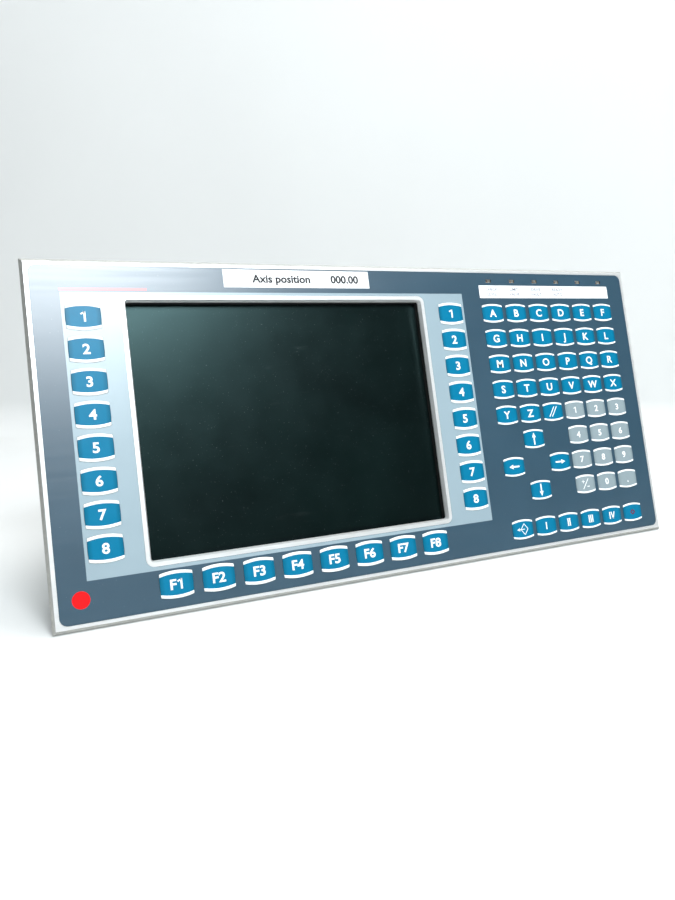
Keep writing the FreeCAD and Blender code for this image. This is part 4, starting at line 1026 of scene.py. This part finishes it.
def make_stage():
    """A pale floor that turns up into a wall: a line, a quarter circle and a line, carried
    sideways."""
    forward = FLOOR_NORMAL.cross(LOOK_RIGHT).normalized()
    side = forward.cross(FLOOR_NORMAL).normalized()
    foot = EYE + FLOOR_NORMAL * (FLOOR_HEIGHT - FLOOR_NORMAL.dot(EYE))
    reach, radius = 1.06, 0.05
    turn = np.linspace(0, math.pi / 2, 17)
    along = np.concatenate([[-6.0, -2.0, 0.0, 0.5], reach - radius + radius * np.sin(turn),
                            [reach, reach]])
    up = np.concatenate([[0, 0, 0, 0], radius - radius * np.cos(turn), [1.0, 5.0]])
    across = np.linspace(-6.0, 6.0, 13)
    points = (np.array(foot)[None, None, :] + along[:, None, None] * np.array(forward)
              + up[:, None, None] * np.array(FLOOR_NORMAL)
              + across[None, :, None] * np.array(side))
    mesh = bpy.data.meshes.new("stage")
    mesh.from_pydata(points.reshape(-1, 3).tolist(), [],
                     sheet_faces(len(along), len(across)).tolist())
    mesh.polygons.foreach_set("use_smooth", np.ones(len(mesh.polygons), bool))
    paint = Finish("stage_paint", roughness=0.85, specular=0.1, colour=(0.74, 0.75, 0.74))
    two_tone(paint, 3.0, (0.73, 0.74, 0.73), (0.75, 0.76, 0.75))
    mesh.materials.append(paint.material)
    stage = bpy.data.objects.new("stage", mesh)
    bpy.context.scene.collection.objects.link(stage)


def area_light(name, place, target, width, height, radiance, colour=(1.0, 1.0, 1.0)):
    """An area light that gives off the same radiance whatever its size."""
    light = bpy.data.lights.new(name, "AREA")
    light.shape = "RECTANGLE"
    light.size, light.size_y = width, height
    light.energy = radiance * width * height * math.pi
    light.color = colour
    thing = bpy.data.objects.new(name, light)
    thing.location = place
    thing.rotation_euler = (Vector(target) - Vector(place)).to_track_quat("-Z", "Y").to_euler()
    thing.visible_camera = False
    bpy.context.scene.collection.objects.link(thing)


def make_light():
    world = bpy.data.worlds.new("room")
    world.use_nodes = True
    background = world.node_tree.nodes["Background"]
    background.inputs["Color"].default_value = (0.96, 0.99, 1.0, 1.0)
    background.inputs["Strength"].default_value = 0.07
    backdrop = world.node_tree.nodes.new("ShaderNodeBackground")
    backdrop.inputs["Color"].default_value = (0.86, 0.88, 0.88, 1.0)
    backdrop.inputs["Strength"].default_value = 0.95
    seen = world.node_tree.nodes.new("ShaderNodeLightPath").outputs["Is Camera Ray"]
    either = world.node_tree.nodes.new("ShaderNodeMixShader")
    output = world.node_tree.nodes["World Output"]
    world.node_tree.links.new(seen, either.inputs[0])
    world.node_tree.links.new(background.outputs[0], either.inputs[1])
    world.node_tree.links.new(backdrop.outputs[0], either.inputs[2])
    world.node_tree.links.new(either.outputs[0], output.inputs["Surface"])
    bpy.context.scene.world = world
    area_light("window", (-0.10, -1.50, 0.80), (-0.10, 0.0, 0.05), 0.75, 0.50, 27.0,
               (0.90, 0.96, 1.0))
    area_light("ceiling", (0.5, -0.8, 1.8), (0.0, 0.0, 0.0), 1.4, 1.0, 6.5)
    area_light("wall_wash", (0.3, 0.1, 1.7), (0.7, 1.0, 0.3), 1.6, 0.6, 5.0)
    area_light("left_card", (-2.2, 0.1, 0.3), (0.0, 0.0, 0.1), 2.0, 1.6, 0.12)


def make_camera():
    camera = bpy.data.cameras.new("camera")
    camera.lens = LENS_LENGTH
    camera.sensor_width = 36.0
    camera.shift_y = FRAMING_SHIFT
    camera.clip_start = 0.01
    thing = bpy.data.objects.new("camera", camera)
    back = LOOK_RIGHT.cross(LOOK_UP).normalized()
    up = back.cross(LOOK_RIGHT).normalized()
    turn = Matrix((LOOK_RIGHT, up, back)).transposed()
    thing.matrix_world = Matrix.Translation(EYE) @ turn.to_4x4()
    bpy.context.scene.collection.objects.link(thing)
    bpy.context.scene.camera = thing


bpy.context.scene.view_settings.view_transform = "Standard"
dress_cad_nodes()
make_key_caps()
make_lamps()
make_red_spot()
make_label_words()
make_fasteners()
make_socket_details()
make_stage()
make_light()
make_camera()
